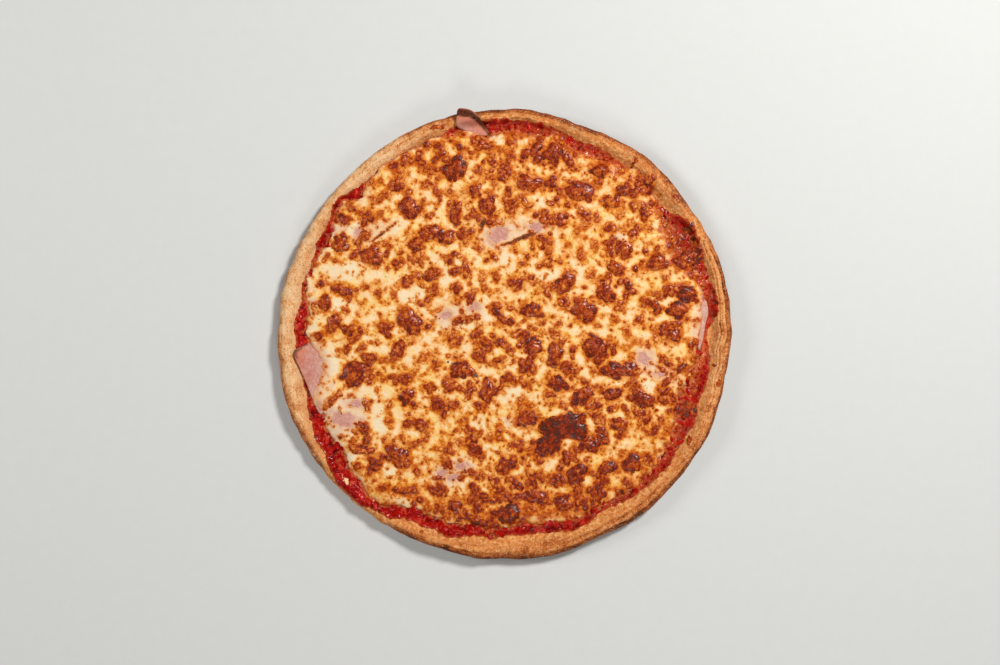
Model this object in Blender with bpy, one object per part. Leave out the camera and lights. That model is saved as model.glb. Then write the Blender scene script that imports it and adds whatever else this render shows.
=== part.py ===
"""A whole baked ham and cheese pizza, about 305 mm across: a round crust with a low uneven rim, a layer of
tomato sauce that runs out over the rim at one side, blistered cheese, and the ham slices that show at its
edge and through it. The origin is the middle of the flat underside, +Z is up, and lengths are in millimetres
until a mesh is made, which is in metres."""

import math
import random

import bmesh
import bpy
import numpy as np
from mathutils import Vector, noise
from mathutils.geometry import delaunay_2d_cdt

MM = 0.001
SEED = 1205

# Heights of the layers.
BASE_HEIGHT = 7.0
RIM_HEIGHT = 13.4
RIM_UNEVEN = 1.1
GAP = 0.35  # clearance between two layers
SAUCE_THICK = 1.2
SAUCE_LUMP = 0.9
EDGE_LIFT = 0.18  # extra clearance of the sauce for each mm that its edge runs in or out by
SPAN = 1.2  # cheese and ham lie on the highest sauce this near
CHEESE_THICK = 3.0
CHEESE_LIP = 1.1  # thickness of the cheese at its edge
CHEESE_SLOPE = 5.0  # how far in from its edge the cheese reaches its full thickness
CHEESE_UNEVEN = 0.55
HAM_THICK = 1.3

# Section of the crust: the rim's width follows how far in the sauce stops.
NARROW_RIM = 7.0
WIDE_RIM = 15.0
CREST_IN = 2.6  # the crest's distance in from the outer edge, plus a share of the rim's width
CREST_SHARE = 0.36
FOOT_EXTRA = 4.5  # the rim's inner slope ends this far under the sauce
UNDERSIDE_TURN = 7.5  # width of the rounded turn from the underside to the side
WAIST_SHARE = 0.42  # height of the widest point, as a share of the rim's height
LOWER_STEPS = 3
UPPER_STEPS = 4
INNER_STEPS = 5

SECTORS = 132  # steps round the crust and the sauce
CHEESE_SECTORS = 160

# Outlines seen from above: (angle in degrees from +X towards +Y, radius). Only the turning points are given.
RIM_OUTLINE = (
    (0, 152.8), (20, 153.0), (35, 150.7), (50, 152.5), (70, 149.4), (85, 152.3), (95, 151.2), (105, 151.9),
    (120, 151.2), (143, 150.6), (160, 151.9), (170, 154.6), (178, 153.8), (190, 155.1), (198, 156.2),
    (215, 155.4), (226, 154.4), (235, 153.8), (255, 152.5), (262, 153.9), (270, 153.1), (278, 154.4),
    (290, 152.5), (296, 151.8), (308, 154.2), (320, 153.0), (335, 153.4), (348, 151.3),
)
SAUCE_OUTLINE = (
    (0, 136.3), (5, 144.4), (9, 146.4), (14, 143.0), (20, 143.5), (27, 146.5), (33, 144.4), (36, 137.5),
    (41, 136.3), (49, 139.0), (62, 140.7), (70, 139.5), (78, 143.5), (86, 145.1), (95, 145.1), (106, 143.7),
    (111, 139.2), (130, 139.4), (138, 142.1), (142.5, 147.6), (146, 142.5), (156, 141.7), (163, 140.5),
    (168, 143.5), (171, 138.3), (174, 143.7), (182, 143.5), (190, 141.5), (197, 141.5), (202, 144.5),
    (208, 148.5), (214, 147.5), (218, 152.0), (221, 154.5), (229, 154.5), (234, 148.5), (237, 149.8),
    (241, 144.0), (250, 142.5), (255, 144.1), (261, 139.0), (266, 141.0), (271, 137.5), (280, 138.3),
    (290, 142.0), (299, 137.5), (307, 141.0), (320, 142.6), (328, 140.7), (335, 142.4), (340, 138.7),
    (347, 141.4), (354, 139.3),
)
CHEESE_OUTLINE = (
    (0, 130.0), (6, 130.5), (10, 132.0), (13, 135.5), (20, 132.5), (24, 127.5), (31, 127.5), (36, 131.0),
    (42, 134.0), (46, 140.3), (52, 140.3), (56, 134.0), (61, 135.0), (69, 129.5), (72, 136.0), (77, 139.0),
    (81, 134.5), (90, 137.6), (94, 133.6), (97, 134.8), (100, 138.4), (104, 139.2), (111, 140.3), (130, 140.3),
    (138, 134.9), (141, 142.6), (148, 138.8), (153, 134.2), (160, 137.3), (167, 138.6), (174, 132.2),
    (181, 137.0), (184, 129.5), (190, 122.5), (193, 127.5), (198, 131.5), (203, 133.0), (207, 139.0),
    (216, 135.6), (221, 140.2), (229, 142.5), (232, 146.0), (238, 139.0), (242, 134.0), (255, 134.2),
    (270, 132.2), (275, 129.5), (290, 134.2), (300, 132.2), (310, 134.2), (325, 132.2), (331, 128.5),
    (336, 124.0), (341, 123.4), (352, 128.5),
)
RIM_DIP = (225, 14, 3.6)  # where the sauce runs over the rim: angle, spread in degrees, depth
RIM_FLARE = (312, 20, 1.6)  # where the underside shows beyond the crest: angle, spread, extra inset
RIM_CREASES = ((14, 20, 2, 1.0), (340, 14, 1, 0.7), (255, 9, 2, 0.8))  # angle, spread, inner ring, depth

# The largest browned patches of cheese: (x, y, length, width, turn in degrees).
PATCHES = (
    (40.7, -61.7, 24, 16, 25), (28.5, -75.9, 17, 14, 60), (75.9, -25.8, 24, 10, 5), (60.3, -10.2, 20, 15, -40),
    (51.5, 94.9, 20, 12, -10), (-102.4, -27.1, 17, 15, 40), (-34.6, 111.2, 16, 14, 60), (1.4, -123.0, 18, 12, 5),
    (-1.4, -112.0, 30, 5, 8), (-64.4, 7.5, 20, 11, -50), (53.6, 15.6, 18, 12, -45), (-28.5, -25.8, 16, 11, 10),
    (-73.9, -83.4, 18, 11, -30), (-74.6, -12.9, 17, 8, 65), (92.2, -45.4, 17, 11, -15), (-92.2, 51.5, 15, 13, 0),
    (32.5, -15.6, 16, 9, 90), (-68.5, -106.4, 16, 6, 0), (15.6, 101.0, 16, 10, -5), (-33.9, 80.7, 16, 8, 85),
    (35.3, -33.9, 15, 9, -30), (40.0, 33.9, 15, 10, 50), (67.8, 27.8, 14, 12, -60), (123.4, 26.4, 14, 11, -20),
    (52.2, -42.0, 14, 11, 35), (33.2, 122.0, 14, 11, 70), (-66.4, 84.8, 14, 12, 20), (21.0, -111.0, 14, 9, -15),
    (48.1, -96.3, 14, 11, 50), (-52.2, 67.8, 13, 9, 20), (17.6, -9.5, 13, 9, 5), (-12.2, -39.3, 13, 10, 60),
    (17.0, 14.9, 13, 8, 15), (-116.6, 6.8, 13, 8, 80), (-50.2, 40.0, 13, 8, 10), (120.5, 50.0, 13, 11, 0),
    (-60.3, 60.3, 12, 9, 30), (-111.9, 29.2, 12, 8, -20), (13.6, -59.0, 12, 10, 40), (-113.2, 60.3, 12, 11, 70),
    (38.0, -115.3, 12, 9, 0), (71.9, 88.8, 12, 8, 0), (102.4, 48.1, 12, 10, 30), (71.9, -41.4, 12, 8, 10),
    (84.8, -88.8, 11, 10, 0), (57.0, -75.9, 11, 10, 0), (68.5, -91.5, 11, 8, 20), (64.4, 109.2, 11, 9, 0),
)
PATCH_RISE = 1.9

RING_CLEARANCE = 1.3  # least distance of two corners on the blisters' rings, and of the grid's corners
GRID_CLEARANCE = 4.3
GRID_SPACING = 6.6

# Smaller blisters, spread by a seeded draw, largest first.
BLISTER_COUNT = 118
BLISTER_RADII = (2.9, 1.9)
BLISTER_RISE = 0.55  # height as a share of the radius
BLISTER_SPREAD = 1.15  # least distance of two, as a share of their radii together

# Ham slices: the outline of what shows of each, as corners of a smooth closed curve.
EDGE_HAM = {
    "ham_top": (
        (-31.9, 151.4), (-24.0, 150.6), (-18.6, 146.2), (-14.4, 140.4), (-11.2, 135.4), (-16.6, 136.2),
        (-23.6, 140.2), (-30.6, 143.4), (-32.6, 147.0),
    ),
    "ham_left": (
        (-143.4, -12.8), (-136.6, -8.6), (-130.2, -11.0), (-124.4, -17.6), (-121.6, -23.4), (-125.4, -30.4),
        (-126.2, -41.0), (-123.6, -53.0), (-127.0, -54.2), (-131.0, -45.0), (-135.0, -34.8), (-139.6, -24.0),
    ),
    "ham_right": (
        (132.6, 20.6), (136.0, 21.2), (137.2, 14.0), (135.4, 5.6), (133.8, -3.6), (131.2, -11.4),
        (129.9, -6.0), (130.7, 4.0), (131.4, 12.0),
    ),
}
WINDOW_HAM = {
    "ham_middle": (
        (-12.9, 71.2), (-5.0, 75.4), (7.0, 76.0), (18.5, 76.4), (29.0, 74.9), (34.2, 71.8), (26.0, 68.0),
        (15.5, 65.2), (5.0, 61.4), (-4.0, 59.4), (-11.0, 62.6),
    ),
    "ham_centre_left": (
        (-46.8, 14.2), (-39.0, 18.4), (-27.0, 21.2), (-18.4, 19.6), (-15.4, 12.4), (-24.4, 7.6),
        (-35.0, 3.6), (-44.8, 4.4),
    ),
    "ham_upper_left": (
        (-105.0, 66.2), (-100.6, 73.6), (-88.5, 75.4), (-74.0, 77.4), (-80.5, 69.6), (-90.0, 61.4),
        (-98.0, 62.2),
    ),
    "ham_lower_left": (
        (-120.8, -51.4), (-114.0, -48.4), (-105.8, -44.4), (-98.0, -46.4), (-99.2, -54.0), (-104.2, -62.6),
        (-112.6, -65.0), (-118.8, -60.0),
    ),
    "ham_lower": (
        (-34.6, -86.0), (-27.4, -83.8), (-23.8, -88.6), (-29.8, -95.2), (-37.2, -103.4), (-47.0, -103.0),
        (-51.0, -97.0), (-42.8, -91.0),
    ),
    "ham_right_inner": (
        (88.8, -11.8), (95.2, -9.2), (100.6, -15.8), (109.0, -21.6), (117.0, -24.6), (117.4, -31.6),
        (110.6, -35.4), (101.0, -30.6), (91.0, -27.6),
    ),
}
HAM_CLEAR = 0.5  # the cheese ends this far from a slice at its edge
POCKET_FLOOR = 0.35  # the pocket's floor reaches this far beyond the slice in it
POCKET_TOP = 1.0  # and its wall is over this far beyond it
POCKET_DEPTH = HAM_THICK + GAP

COLOURS = {
    "crust": ((0.66, 0.35, 0.15), 0.75),
    "sauce": ((0.30, 0.02, 0.01), 0.35),
    "cheese": ((0.86, 0.56, 0.22), 0.35),
    "browned_cheese": ((0.36, 0.09, 0.02), 0.30),
    "ham": ((0.70, 0.33, 0.28), 0.40),
}


def around(outline, angle):
    """Radius of an outline at an angle in degrees, with its corners rounded off over three degrees."""
    angles = [corner[0] for corner in outline]
    radii = [corner[1] for corner in outline]
    near = [np.interp(np.asarray(angle) + step, angles, radii, period=360) for step in (-1.5, 0.0, 1.5)]
    return sum(near) / len(near)


def bell(angle, centre, spread):
    """1 at a centre angle, falling to nothing on both sides of it."""
    away = (angle - centre + 180) % 360 - 180
    return math.exp(-((away / spread) ** 2))


def on_turn(radius, angle):
    return radius * math.cos(math.radians(angle)), radius * math.sin(math.radians(angle))


def around_even(radii, angle):
    """Radius at an angle of an outline given by radii at even steps of the angle."""
    return float(np.interp(angle % 360, np.arange(len(radii) + 1) * 360 / len(radii), [*radii, radii[0]]))


def uneven(x, y, size, layer):
    """Smooth seeded noise from about -1 to 1 whose swells are about this size."""
    return 2.0 * noise.noise(Vector((x / size, y / size, 7.31 * layer)))


def rim_width(angle):
    """How far the bare rim reaches in from the outer edge, averaged over 16 degrees."""
    steps = np.arange(-8, 9, 2)
    wide = np.clip(around(RIM_OUTLINE, angle + steps) - around(SAUCE_OUTLINE, angle + steps), NARROW_RIM, WIDE_RIM)
    return float(wide.mean())


def rim_section(angle):
    """(radius, height) along the crust's section, from its underside round the rim and down to the base."""
    x, y = on_turn(150, angle)
    edge = float(around(RIM_OUTLINE, angle)) + 0.4 * uneven(x, y, 9, 1)
    crest = RIM_HEIGHT + RIM_UNEVEN * uneven(x, y, 26, 2) - RIM_DIP[2] * bell(angle, RIM_DIP[0], RIM_DIP[1])
    crest_in = CREST_IN + CREST_SHARE * rim_width(angle)
    crest_in += 0.7 * uneven(x, y, 18, 3) + RIM_FLARE[2] * bell(angle, RIM_FLARE[0], RIM_FLARE[1])
    foot_in = max(rim_width(angle) + FOOT_EXTRA, crest_in + 4.0)
    waist = WAIST_SHARE * crest
    section = []
    for step in range(LOWER_STEPS):
        lean = math.radians(90 * step / LOWER_STEPS)
        section.append((edge - UNDERSIDE_TURN * (1 - math.sin(lean)), waist * (1 - math.cos(lean))))
    for step in range(UPPER_STEPS):
        lean = math.radians(90 * step / UPPER_STEPS)
        section.append((edge - crest_in * (1 - math.cos(lean)), waist + (crest - waist) * math.sin(lean)))
    for step in range(INNER_STEPS + 1):
        share = step / INNER_STEPS
        fall = 0.5 + 0.5 * math.cos(math.pi * share)
        section.append((edge - crest_in - (foot_in - crest_in) * share, BASE_HEIGHT + (crest - BASE_HEIGHT) * fall))
    return [roughened(angle, ring, point) for ring, point in enumerate(section)]


def roughened(angle, ring, point):
    """A section point with small crags added: none on the flat underside or at the foot of the slope."""
    radius, height = point
    last = LOWER_STEPS + UPPER_STEPS + INNER_STEPS
    if ring in (0, last):
        return point
    x, y = on_turn(radius, angle)
    height += 0.30 * uneven(x, y, 5, 4 + ring)
    for centre, spread, inner_ring, depth in RIM_CREASES:
        if ring == LOWER_STEPS + UPPER_STEPS + inner_ring:
            height -= depth * bell(angle, centre, spread)
    return radius, height


SECTIONS = [rim_section(360 * sector / SECTORS) for sector in range(SECTORS)]


def crust_height(x, y):
    """Height of the crust's upper surface. Beyond the crest it stays at the crest's height."""
    sector = (math.degrees(math.atan2(y, x)) % 360) / 360 * SECTORS
    first = int(sector) % SECTORS
    heights = []
    for section in (SECTIONS[first], SECTIONS[(first + 1) % SECTORS]):
        slope = section[LOWER_STEPS + UPPER_STEPS:][::-1]
        heights.append(np.interp(math.hypot(x, y), [p[0] for p in slope], [p[1] for p in slope]))
    share = sector - int(sector)
    return float(heights[0] * (1 - share) + heights[1] * share)


def sauce_thickness(x, y):
    """Even under the cheese and the ham, and lumpy where it is bare."""
    bare = (math.hypot(x, y) - around_even(CHEESE_RADII, math.degrees(math.atan2(y, x)))) / 3.0
    for loop in SHOWING.values():
        bare = min(bare, (outline_distance(x, y, loop) - 1.0) / 3.0)
    lump = min(max(uneven(x, y, 7, 20) + 0.4, 0.0), 1.0)
    return SAUCE_THICK + SAUCE_LUMP * min(max(bare, 0.0), 1.0) * lump


def patch_share(x, y, patch):
    """0 at the middle of a browned patch, 1 at its edge, more outside it."""
    across, along = y - patch[1], x - patch[0]
    turn = math.radians(patch[4])
    u = (along * math.cos(turn) + across * math.sin(turn)) / (0.5 * patch[2])
    v = (across * math.cos(turn) - along * math.sin(turn)) / (0.5 * patch[3])
    return math.hypot(u, v)


def outline_distance(x, y, corners):
    """Distance from a closed outline, negative inside it."""
    inside = False
    nearest = math.inf
    for (ax, ay), (bx, by) in zip(corners, corners[1:] + corners[:1]):
        if (ay > y) != (by > y) and x < ax + (y - ay) / (by - ay) * (bx - ax):
            inside = not inside
        side = (bx - ax) ** 2 + (by - ay) ** 2
        share = min(max(((x - ax) * (bx - ax) + (y - ay) * (by - ay)) / side, 0.0), 1.0)
        nearest = min(nearest, math.hypot(x - ax - share * (bx - ax), y - ay - share * (by - ay)))
    return -nearest if inside else nearest


def rounded(corners, steps=3):
    """A smooth closed curve through the corners, as points."""
    points = []
    count = len(corners)
    for index in range(count):
        a, b, c, d = (Vector(corners[(index + k) % count]) for k in (-1, 0, 1, 2))
        for step in range(steps):
            t = step / steps
            point = 0.5 * ((2 * b) + (c - a) * t + (2 * a - 5 * b + 4 * c - d) * t * t + (3 * b - a - 3 * c + d) * t**3)
            points.append((point.x, point.y))
    return points


def grown(loop, distance):
    """A closed anticlockwise loop moved outwards by a distance."""
    moved = []
    for index, (x, y) in enumerate(loop):
        before, after = loop[index - 1], loop[(index + 1) % len(loop)]
        along = Vector((after[0] - before[0], after[1] - before[1])).normalized()
        moved.append((x + distance * along.y, y - distance * along.x))
    return moved


def anticlockwise(loop):
    area = sum(a[0] * b[1] - b[0] * a[1] for a, b in zip(loop, loop[1:] + loop[:1]))
    return loop if area > 0 else loop[::-1]


WINDOWS = {name: anticlockwise(rounded(corners)) for name, corners in WINDOW_HAM.items()}
SHOWING = {name: anticlockwise(rounded(corners)) for name, corners in EDGE_HAM.items()}


def cheese_radii():
    """The cheese's outline at even steps, drawn back wherever a slice shows outside it."""
    step = 360 / CHEESE_SECTORS
    radii = [float(around(CHEESE_OUTLINE, step * sector)) for sector in range(CHEESE_SECTORS)]
    touching = True
    while touching:
        touching = False
        for sector in range(CHEESE_SECTORS):
            after = (sector + 1) % CHEESE_SECTORS
            start = Vector(on_turn(radii[sector], step * sector))
            end = Vector(on_turn(radii[after], step * after))
            for share in (0.0, 0.25, 0.5, 0.75):
                x, y = start.lerp(end, share)
                if any(outline_distance(x, y, loop) < HAM_CLEAR for loop in SHOWING.values()):
                    radii[sector] -= 0.3
                    radii[after] -= 0.3
                    touching = True
                    break
    return radii


CHEESE_RADII = cheese_radii()


def sauce_stations(sector):
    """(radius, height, radial and upward part of the normal, distance to the sauce's edge) up the rim's slope,
    a station at each of the section's points, with those past the sauce's edge moved back onto it."""
    slope = SECTIONS[sector][LOWER_STEPS:][::-1]
    inner = min(around_even(CHEESE_RADII, 360 * sector / SECTORS), slope[0][0]) - 1.0
    slope = [(inner, BASE_HEIGHT)] + slope
    lengths = np.concatenate([[0], np.cumsum([math.dist(a, b) for a, b in zip(slope, slope[1:])])])
    radii = [point[0] for point in slope]
    heights = [point[1] for point in slope]
    edge = min(float(around(SAUCE_OUTLINE, 360 * sector / SECTORS)), radii[-1] - 0.15)
    end = float(np.interp(edge, radii, lengths))
    stations = []
    for length in lengths:
        length = end if length > end - 0.6 else float(length)
        before, after = max(length - 0.4, 0.0), min(length + 0.4, lengths[-1])
        out = np.interp(after, lengths, radii) - np.interp(before, lengths, radii)
        up = np.interp(after, lengths, heights) - np.interp(before, lengths, heights)
        size = math.hypot(out, up)
        radius, height = float(np.interp(length, lengths, radii)), float(np.interp(length, lengths, heights))
        stations.append((radius, height, -up / size, out / size, end - length))
    return stations


def sauce_sides():
    """The sauce's lower and upper sides: for each sector, (radius, height) from its inner ring to its edge."""
    columns = [sauce_stations(sector) for sector in range(SECTORS)]
    lower, upper = [], []
    for sector, column in enumerate(columns):
        nearby = (columns[sector - 1][-1][0], columns[(sector + 1) % SECTORS][-1][0])
        lift = GAP + EDGE_LIFT * max(abs(column[-1][0] - other) for other in nearby)
        below, above = [], []
        for number, (radius, height, out, up, left) in enumerate(column):
            rise = lift if number else GAP
            x, y = on_turn(radius, 360 * sector / SECTORS)
            top = max(GAP + sauce_thickness(x, y) * (0.45 + 0.55 * min(left / 1.8, 1.0)), rise + 0.4)
            below.append((radius + rise * out, height + rise * up))
            above.append((radius + top * out, height + top * up))
        lower.append(below)
        upper.append(above)
    return lower, upper


SAUCE_LOWER, SAUCE_UPPER = sauce_sides()


def blisters():
    """(x, y, radius) of the smaller blisters, largest first, clear of each other, the patches and the ham."""
    draw = random.Random(SEED)
    placed = []
    for index in range(BLISTER_COUNT):
        share = index / BLISTER_COUNT
        radius = BLISTER_RADII[0] + (BLISTER_RADII[1] - BLISTER_RADII[0]) * share**0.6
        for _ in range(400):
            angle = draw.uniform(0, 360)
            reach = math.sqrt(draw.random()) * 140
            x, y = on_turn(reach, angle)
            if reach > around_even(CHEESE_RADII, angle) - radius - 2.5:
                continue
            if any(math.hypot(x - a, y - b) < BLISTER_SPREAD * (radius + r) for a, b, r in placed):
                continue
            if any(patch_share(x, y, patch) < 1 + 2.2 * radius / patch[3] for patch in PATCHES):
                continue
            if any(outline_distance(x, y, loop) < radius + 1.3 for loop in WINDOWS.values()):
                continue
            placed.append((x, y, radius))
            break
    return placed


BLISTERS = blisters()


def layer_bottom(x, y):
    """How low cheese or ham can lie: just clear of the crust and of the sauce, which it spans where that dips."""
    reach = math.hypot(x, y)
    sector = int((math.degrees(math.atan2(y, x)) % 360) / 360 * SECTORS) % SECTORS
    lowest = crust_height(x, y) + GAP
    for side in (SAUCE_UPPER[sector], SAUCE_UPPER[(sector + 1) % SECTORS]):
        if reach < side[-1][0] + SPAN:
            heights = np.interp((reach - SPAN, reach, reach + SPAN), [p[0] for p in side], [p[1] for p in side])
            lowest = max(lowest, float(heights.max()))
    return lowest + GAP


def cheese_plain(x, y):
    """Height of the cheese without blisters and pockets."""
    inset = around_even(CHEESE_RADII, math.degrees(math.atan2(y, x))) - math.hypot(x, y)
    share = min(max(inset / CHEESE_SLOPE, 0.0), 1.0)
    swell = CHEESE_UNEVEN * uneven(x, y, 24, 30) * share
    return layer_bottom(x, y) + CHEESE_LIP + (CHEESE_THICK - CHEESE_LIP) * math.sin(0.5 * math.pi * share) + swell


def cheese_top(x, y):
    height = cheese_plain(x, y)
    rise = 0.0
    for patch in PATCHES:
        share = patch_share(x, y, patch)
        if share < 1:
            lobes = 1 + 0.35 * uneven(x, y, 4.5, 31)
            rise = max(rise, PATCH_RISE * lobes * (1 - share**2) ** 0.6)
    for bx, by, radius in BLISTERS:
        away = math.hypot(x - bx, y - by) / radius
        if away < 1:
            rise = max(rise, BLISTER_RISE * radius * (1 - away**2))
    sunk = 0.0
    for loop in WINDOWS.values():
        if math.dist((x, y), loop[0]) < 60:
            away = (POCKET_TOP - outline_distance(x, y, loop)) / (POCKET_TOP - POCKET_FLOOR)
            sunk = max(sunk, min(max(away, 0.0), 1.0))
    return height + rise * (1 - sunk) - POCKET_DEPTH * sunk


def filled(outline, loops, points):
    """The inside of a closed outline as triangles, keeping inner loops and loose points as corners. It returns
    the corners, the triangles and, for each point of the outline, its corner's number."""
    flat = [Vector(point) for point in outline]
    edges = [(index, (index + 1) % len(outline)) for index in range(len(outline))]
    for loop in loops:
        start = len(flat)
        flat += [Vector(point) for point in loop]
        edges += [(start + index, start + (index + 1) % len(loop)) for index in range(len(loop))]
    flat += [Vector(point) for point in points]
    corners, _, faces, sources = delaunay_2d_cdt(flat, edges, [], 1, 1e-4)[:4]
    home = {}
    for number, origins in enumerate(sources):
        for origin in origins:
            home[origin] = number
    triangles = []
    for a, b, c in faces:
        area = (corners[b] - corners[a]).cross(corners[c] - corners[a])
        triangles.append((a, b, c) if area > 0 else (a, c, b))
    return [(corner.x, corner.y) for corner in corners], triangles, [home[index] for index in range(len(outline))]


def closed_sheet(outline, upper, lower, top, bottom):
    """Corners and triangles of a closed layer: its upper and lower faces, each filled from its own inner loops
    and points, and the wall round its outline."""
    above, above_faces, above_edge = filled(outline, *upper)
    below, below_faces, below_edge = filled(outline, *lower)
    corners = [(x, y, top(x, y)) for x, y in above] + [(x, y, bottom(x, y)) for x, y in below]
    shift = len(above)
    faces = list(above_faces) + [(c + shift, b + shift, a + shift) for a, b, c in below_faces]
    for index in range(len(outline)):
        a, b = above_edge[index - 1], above_edge[index]
        c, d = below_edge[index - 1] + shift, below_edge[index] + shift
        faces += [(a, c, d), (a, d, b)]
    return corners, faces


def new_object(name, corners, faces, material):
    mesh = bpy.data.meshes.new(name)
    build = bmesh.new()
    verts = [build.verts.new(Vector(corner) * MM) for corner in corners]
    for face in faces:
        if len(set(face)) == len(face):
            build.faces.new([verts[index] for index in face])
    bmesh.ops.remove_doubles(build, verts=build.verts, dist=1e-6)
    bmesh.ops.dissolve_degenerate(build, dist=1e-6, edges=build.edges)
    bmesh.ops.recalc_face_normals(build, faces=build.faces)
    build.to_mesh(mesh)
    build.free()
    mesh.shade_smooth()
    mesh.set_sharp_from_angle(angle=math.radians(50))
    mesh.materials.append(material)
    obj = bpy.data.objects.new(name, mesh)
    bpy.context.scene.collection.objects.link(obj)
    return obj


def plain_material(name):
    colour, roughness = COLOURS[name]
    material = bpy.data.materials.new(name)
    material.use_nodes = True
    shader = material.node_tree.nodes["Principled BSDF"]
    shader.inputs["Base Color"].default_value = (*colour, 1.0)
    shader.inputs["Roughness"].default_value = roughness
    shader.inputs["Metallic"].default_value = 0.0
    return material


def ring_faces(rings, count):
    """Triangles of a closed body made of rings of equally many corners, with a middle point at each end."""
    faces = []
    for ring in range(rings - 1):
        for sector in range(count):
            a, b = ring * count + sector, ring * count + (sector + 1) % count
            faces += [(a, b, b + count), (a, b + count, a + count)]
    first_middle, last_middle = rings * count, rings * count + 1
    last_ring = (rings - 1) * count
    for sector in range(count):
        after = (sector + 1) % count
        faces.append((first_middle, after, sector))
        faces.append((last_middle, last_ring + sector, last_ring + after))
    return faces


def on_circle(point, sector):
    """A point of a section, (radius, height), turned to its sector."""
    return *on_turn(point[0], 360 * sector / SECTORS), point[1]


def make_crust(material):
    rings = len(SECTIONS[0])
    corners = []
    for ring in range(rings):
        for sector in range(SECTORS):
            corners.append(on_circle(SECTIONS[sector][ring], sector))
    corners += [(0, 0, 0), (0, 0, BASE_HEIGHT)]
    return new_object("crust", corners, ring_faces(rings, SECTORS), material)


def make_sauce(material):
    count = len(SAUCE_LOWER[0])
    corners = [on_circle(SAUCE_LOWER[sector][ring], sector) for ring in range(count) for sector in range(SECTORS)]
    for ring in reversed(range(count)):
        corners += [on_circle(SAUCE_UPPER[sector][ring], sector) for sector in range(SECTORS)]
    corners += [(0, 0, BASE_HEIGHT + GAP), (0, 0, BASE_HEIGHT + GAP + SAUCE_THICK)]
    return new_object("sauce", corners, ring_faces(2 * count, SECTORS), material)


def grid_points(spacing, reach):
    """Points of a triangular grid out to a radius."""
    rows = int(reach / (spacing * 0.866)) + 1
    points = []
    for row in range(-rows, rows + 1):
        for column in range(-rows, rows + 1):
            x = (column + 0.5 * (row % 2)) * spacing
            y = row * spacing * 0.866
            if math.hypot(x, y) < reach:
                points.append((x, y))
    return points


def on_ellipse(patch, share, count):
    points = []
    turn = math.radians(patch[4])
    for index in range(count):
        step = 2 * math.pi * (index + 0.5 * share) / count
        u, v = 0.5 * patch[2] * share * math.cos(step), 0.5 * patch[3] * share * math.sin(step)
        points.append((patch[0] + u * math.cos(turn) - v * math.sin(turn), patch[1] + u * math.sin(turn) + v * math.cos(turn)))
    return points


def cheese_points():
    """Corners of the cheese's upper face: rings round each blister and patch, then a grid between them."""
    wanted = []
    for patch in PATCHES:
        across = max(8, round(0.85 * (patch[2] + patch[3]) / 2))
        wanted += [patch[:2]] + on_ellipse(patch, 0.55, across - 2) + on_ellipse(patch, 1.0, across + 2)
    for x, y, radius in BLISTERS:
        wanted += [(x, y)] + on_ellipse((x, y, 2 * radius, 2 * radius, 0), 1.0, 6)
    rings = len(wanted)
    wanted += grid_points(GRID_SPACING, 140)
    kept = []
    cells = {}
    for number, (x, y) in enumerate(wanted):
        clearance = RING_CLEARANCE if number < rings else GRID_CLEARANCE
        edge = around_even(CHEESE_RADII, math.degrees(math.atan2(y, x)))
        if math.hypot(x, y) > edge - 2.0:
            continue
        if any(outline_distance(x, y, loop) < POCKET_TOP + 1.0 for loop in WINDOWS.values()):
            continue
        cell = (round(x / 4), round(y / 4))
        near = [p for i in (-1, 0, 1) for j in (-1, 0, 1) for p in cells.get((cell[0] + i, cell[1] + j), [])]
        if any(math.dist((x, y), other) < clearance for other in near):
            continue
        kept.append((x, y))
        cells.setdefault(cell, []).append((x, y))
    return kept


def make_cheese(material, browned):
    step = 360 / CHEESE_SECTORS
    outline = [on_turn(radius, step * sector) for sector, radius in enumerate(CHEESE_RADII)]
    pockets = []
    for loop in WINDOWS.values():
        pockets += [grown(loop, POCKET_FLOOR), grown(loop, POCKET_TOP)]
    under = grid_points(34, 112)
    corners, faces = closed_sheet(outline, (pockets, cheese_points()), ([], under), cheese_top, layer_bottom)
    cheese = new_object("cheese", corners, faces, material)
    cheese.data.materials.append(browned)
    for face in cheese.data.polygons:
        x, y = face.center.x / MM, face.center.y / MM
        on_patch = any(patch_share(x, y, patch) < 0.95 for patch in PATCHES)
        on_blister = any(math.hypot(x - bx, y - by) < 0.9 * radius for bx, by, radius in BLISTERS)
        if face.normal.z > 0 and (on_patch or on_blister):
            face.material_index = 1
    return cheese


def make_ham(name, loop, lying, material):
    """One slice: a thin wavy slab, both faces split into triangles alike."""
    middle = Vector((sum(p[0] for p in loop), sum(p[1] for p in loop))) / len(loop)
    inner = [(x + middle.x, y + middle.y) for x, y in grid_points(4.5, 30)]
    inner = [point for point in inner if outline_distance(*point, loop) < -1.6]

    def upper(x, y):
        return lying(x, y) + HAM_THICK

    corners, faces = closed_sheet(loop, ([], inner), ([], inner), upper, lying)
    return new_object(name, corners, faces, material)


def on_pocket(x, y):
    """A slice in its pocket lies with its upper face level with the cheese."""
    return cheese_plain(x, y) - POCKET_DEPTH + GAP


def on_edge(x, y):
    """A slice at the edge lies on the sauce, and on the rim beyond it, without bending down its outer side."""
    return layer_bottom(x, y)


def main():
    for obj in list(bpy.data.objects):
        bpy.data.objects.remove(obj, do_unlink=True)
    materials = {name: plain_material(name) for name in COLOURS}
    make_crust(materials["crust"])
    make_sauce(materials["sauce"])
    make_cheese(materials["cheese"], materials["browned_cheese"])
    for name, loop in WINDOWS.items():
        make_ham(name, loop, on_pocket, materials["ham"])
    for name, loop in SHOWING.items():
        make_ham(name, loop, on_edge, materials["ham"])


main()
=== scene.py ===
import math
import random

import bpy
import numpy as np
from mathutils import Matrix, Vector, noise
from mathutils.geometry import delaunay_2d_cdt


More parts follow.
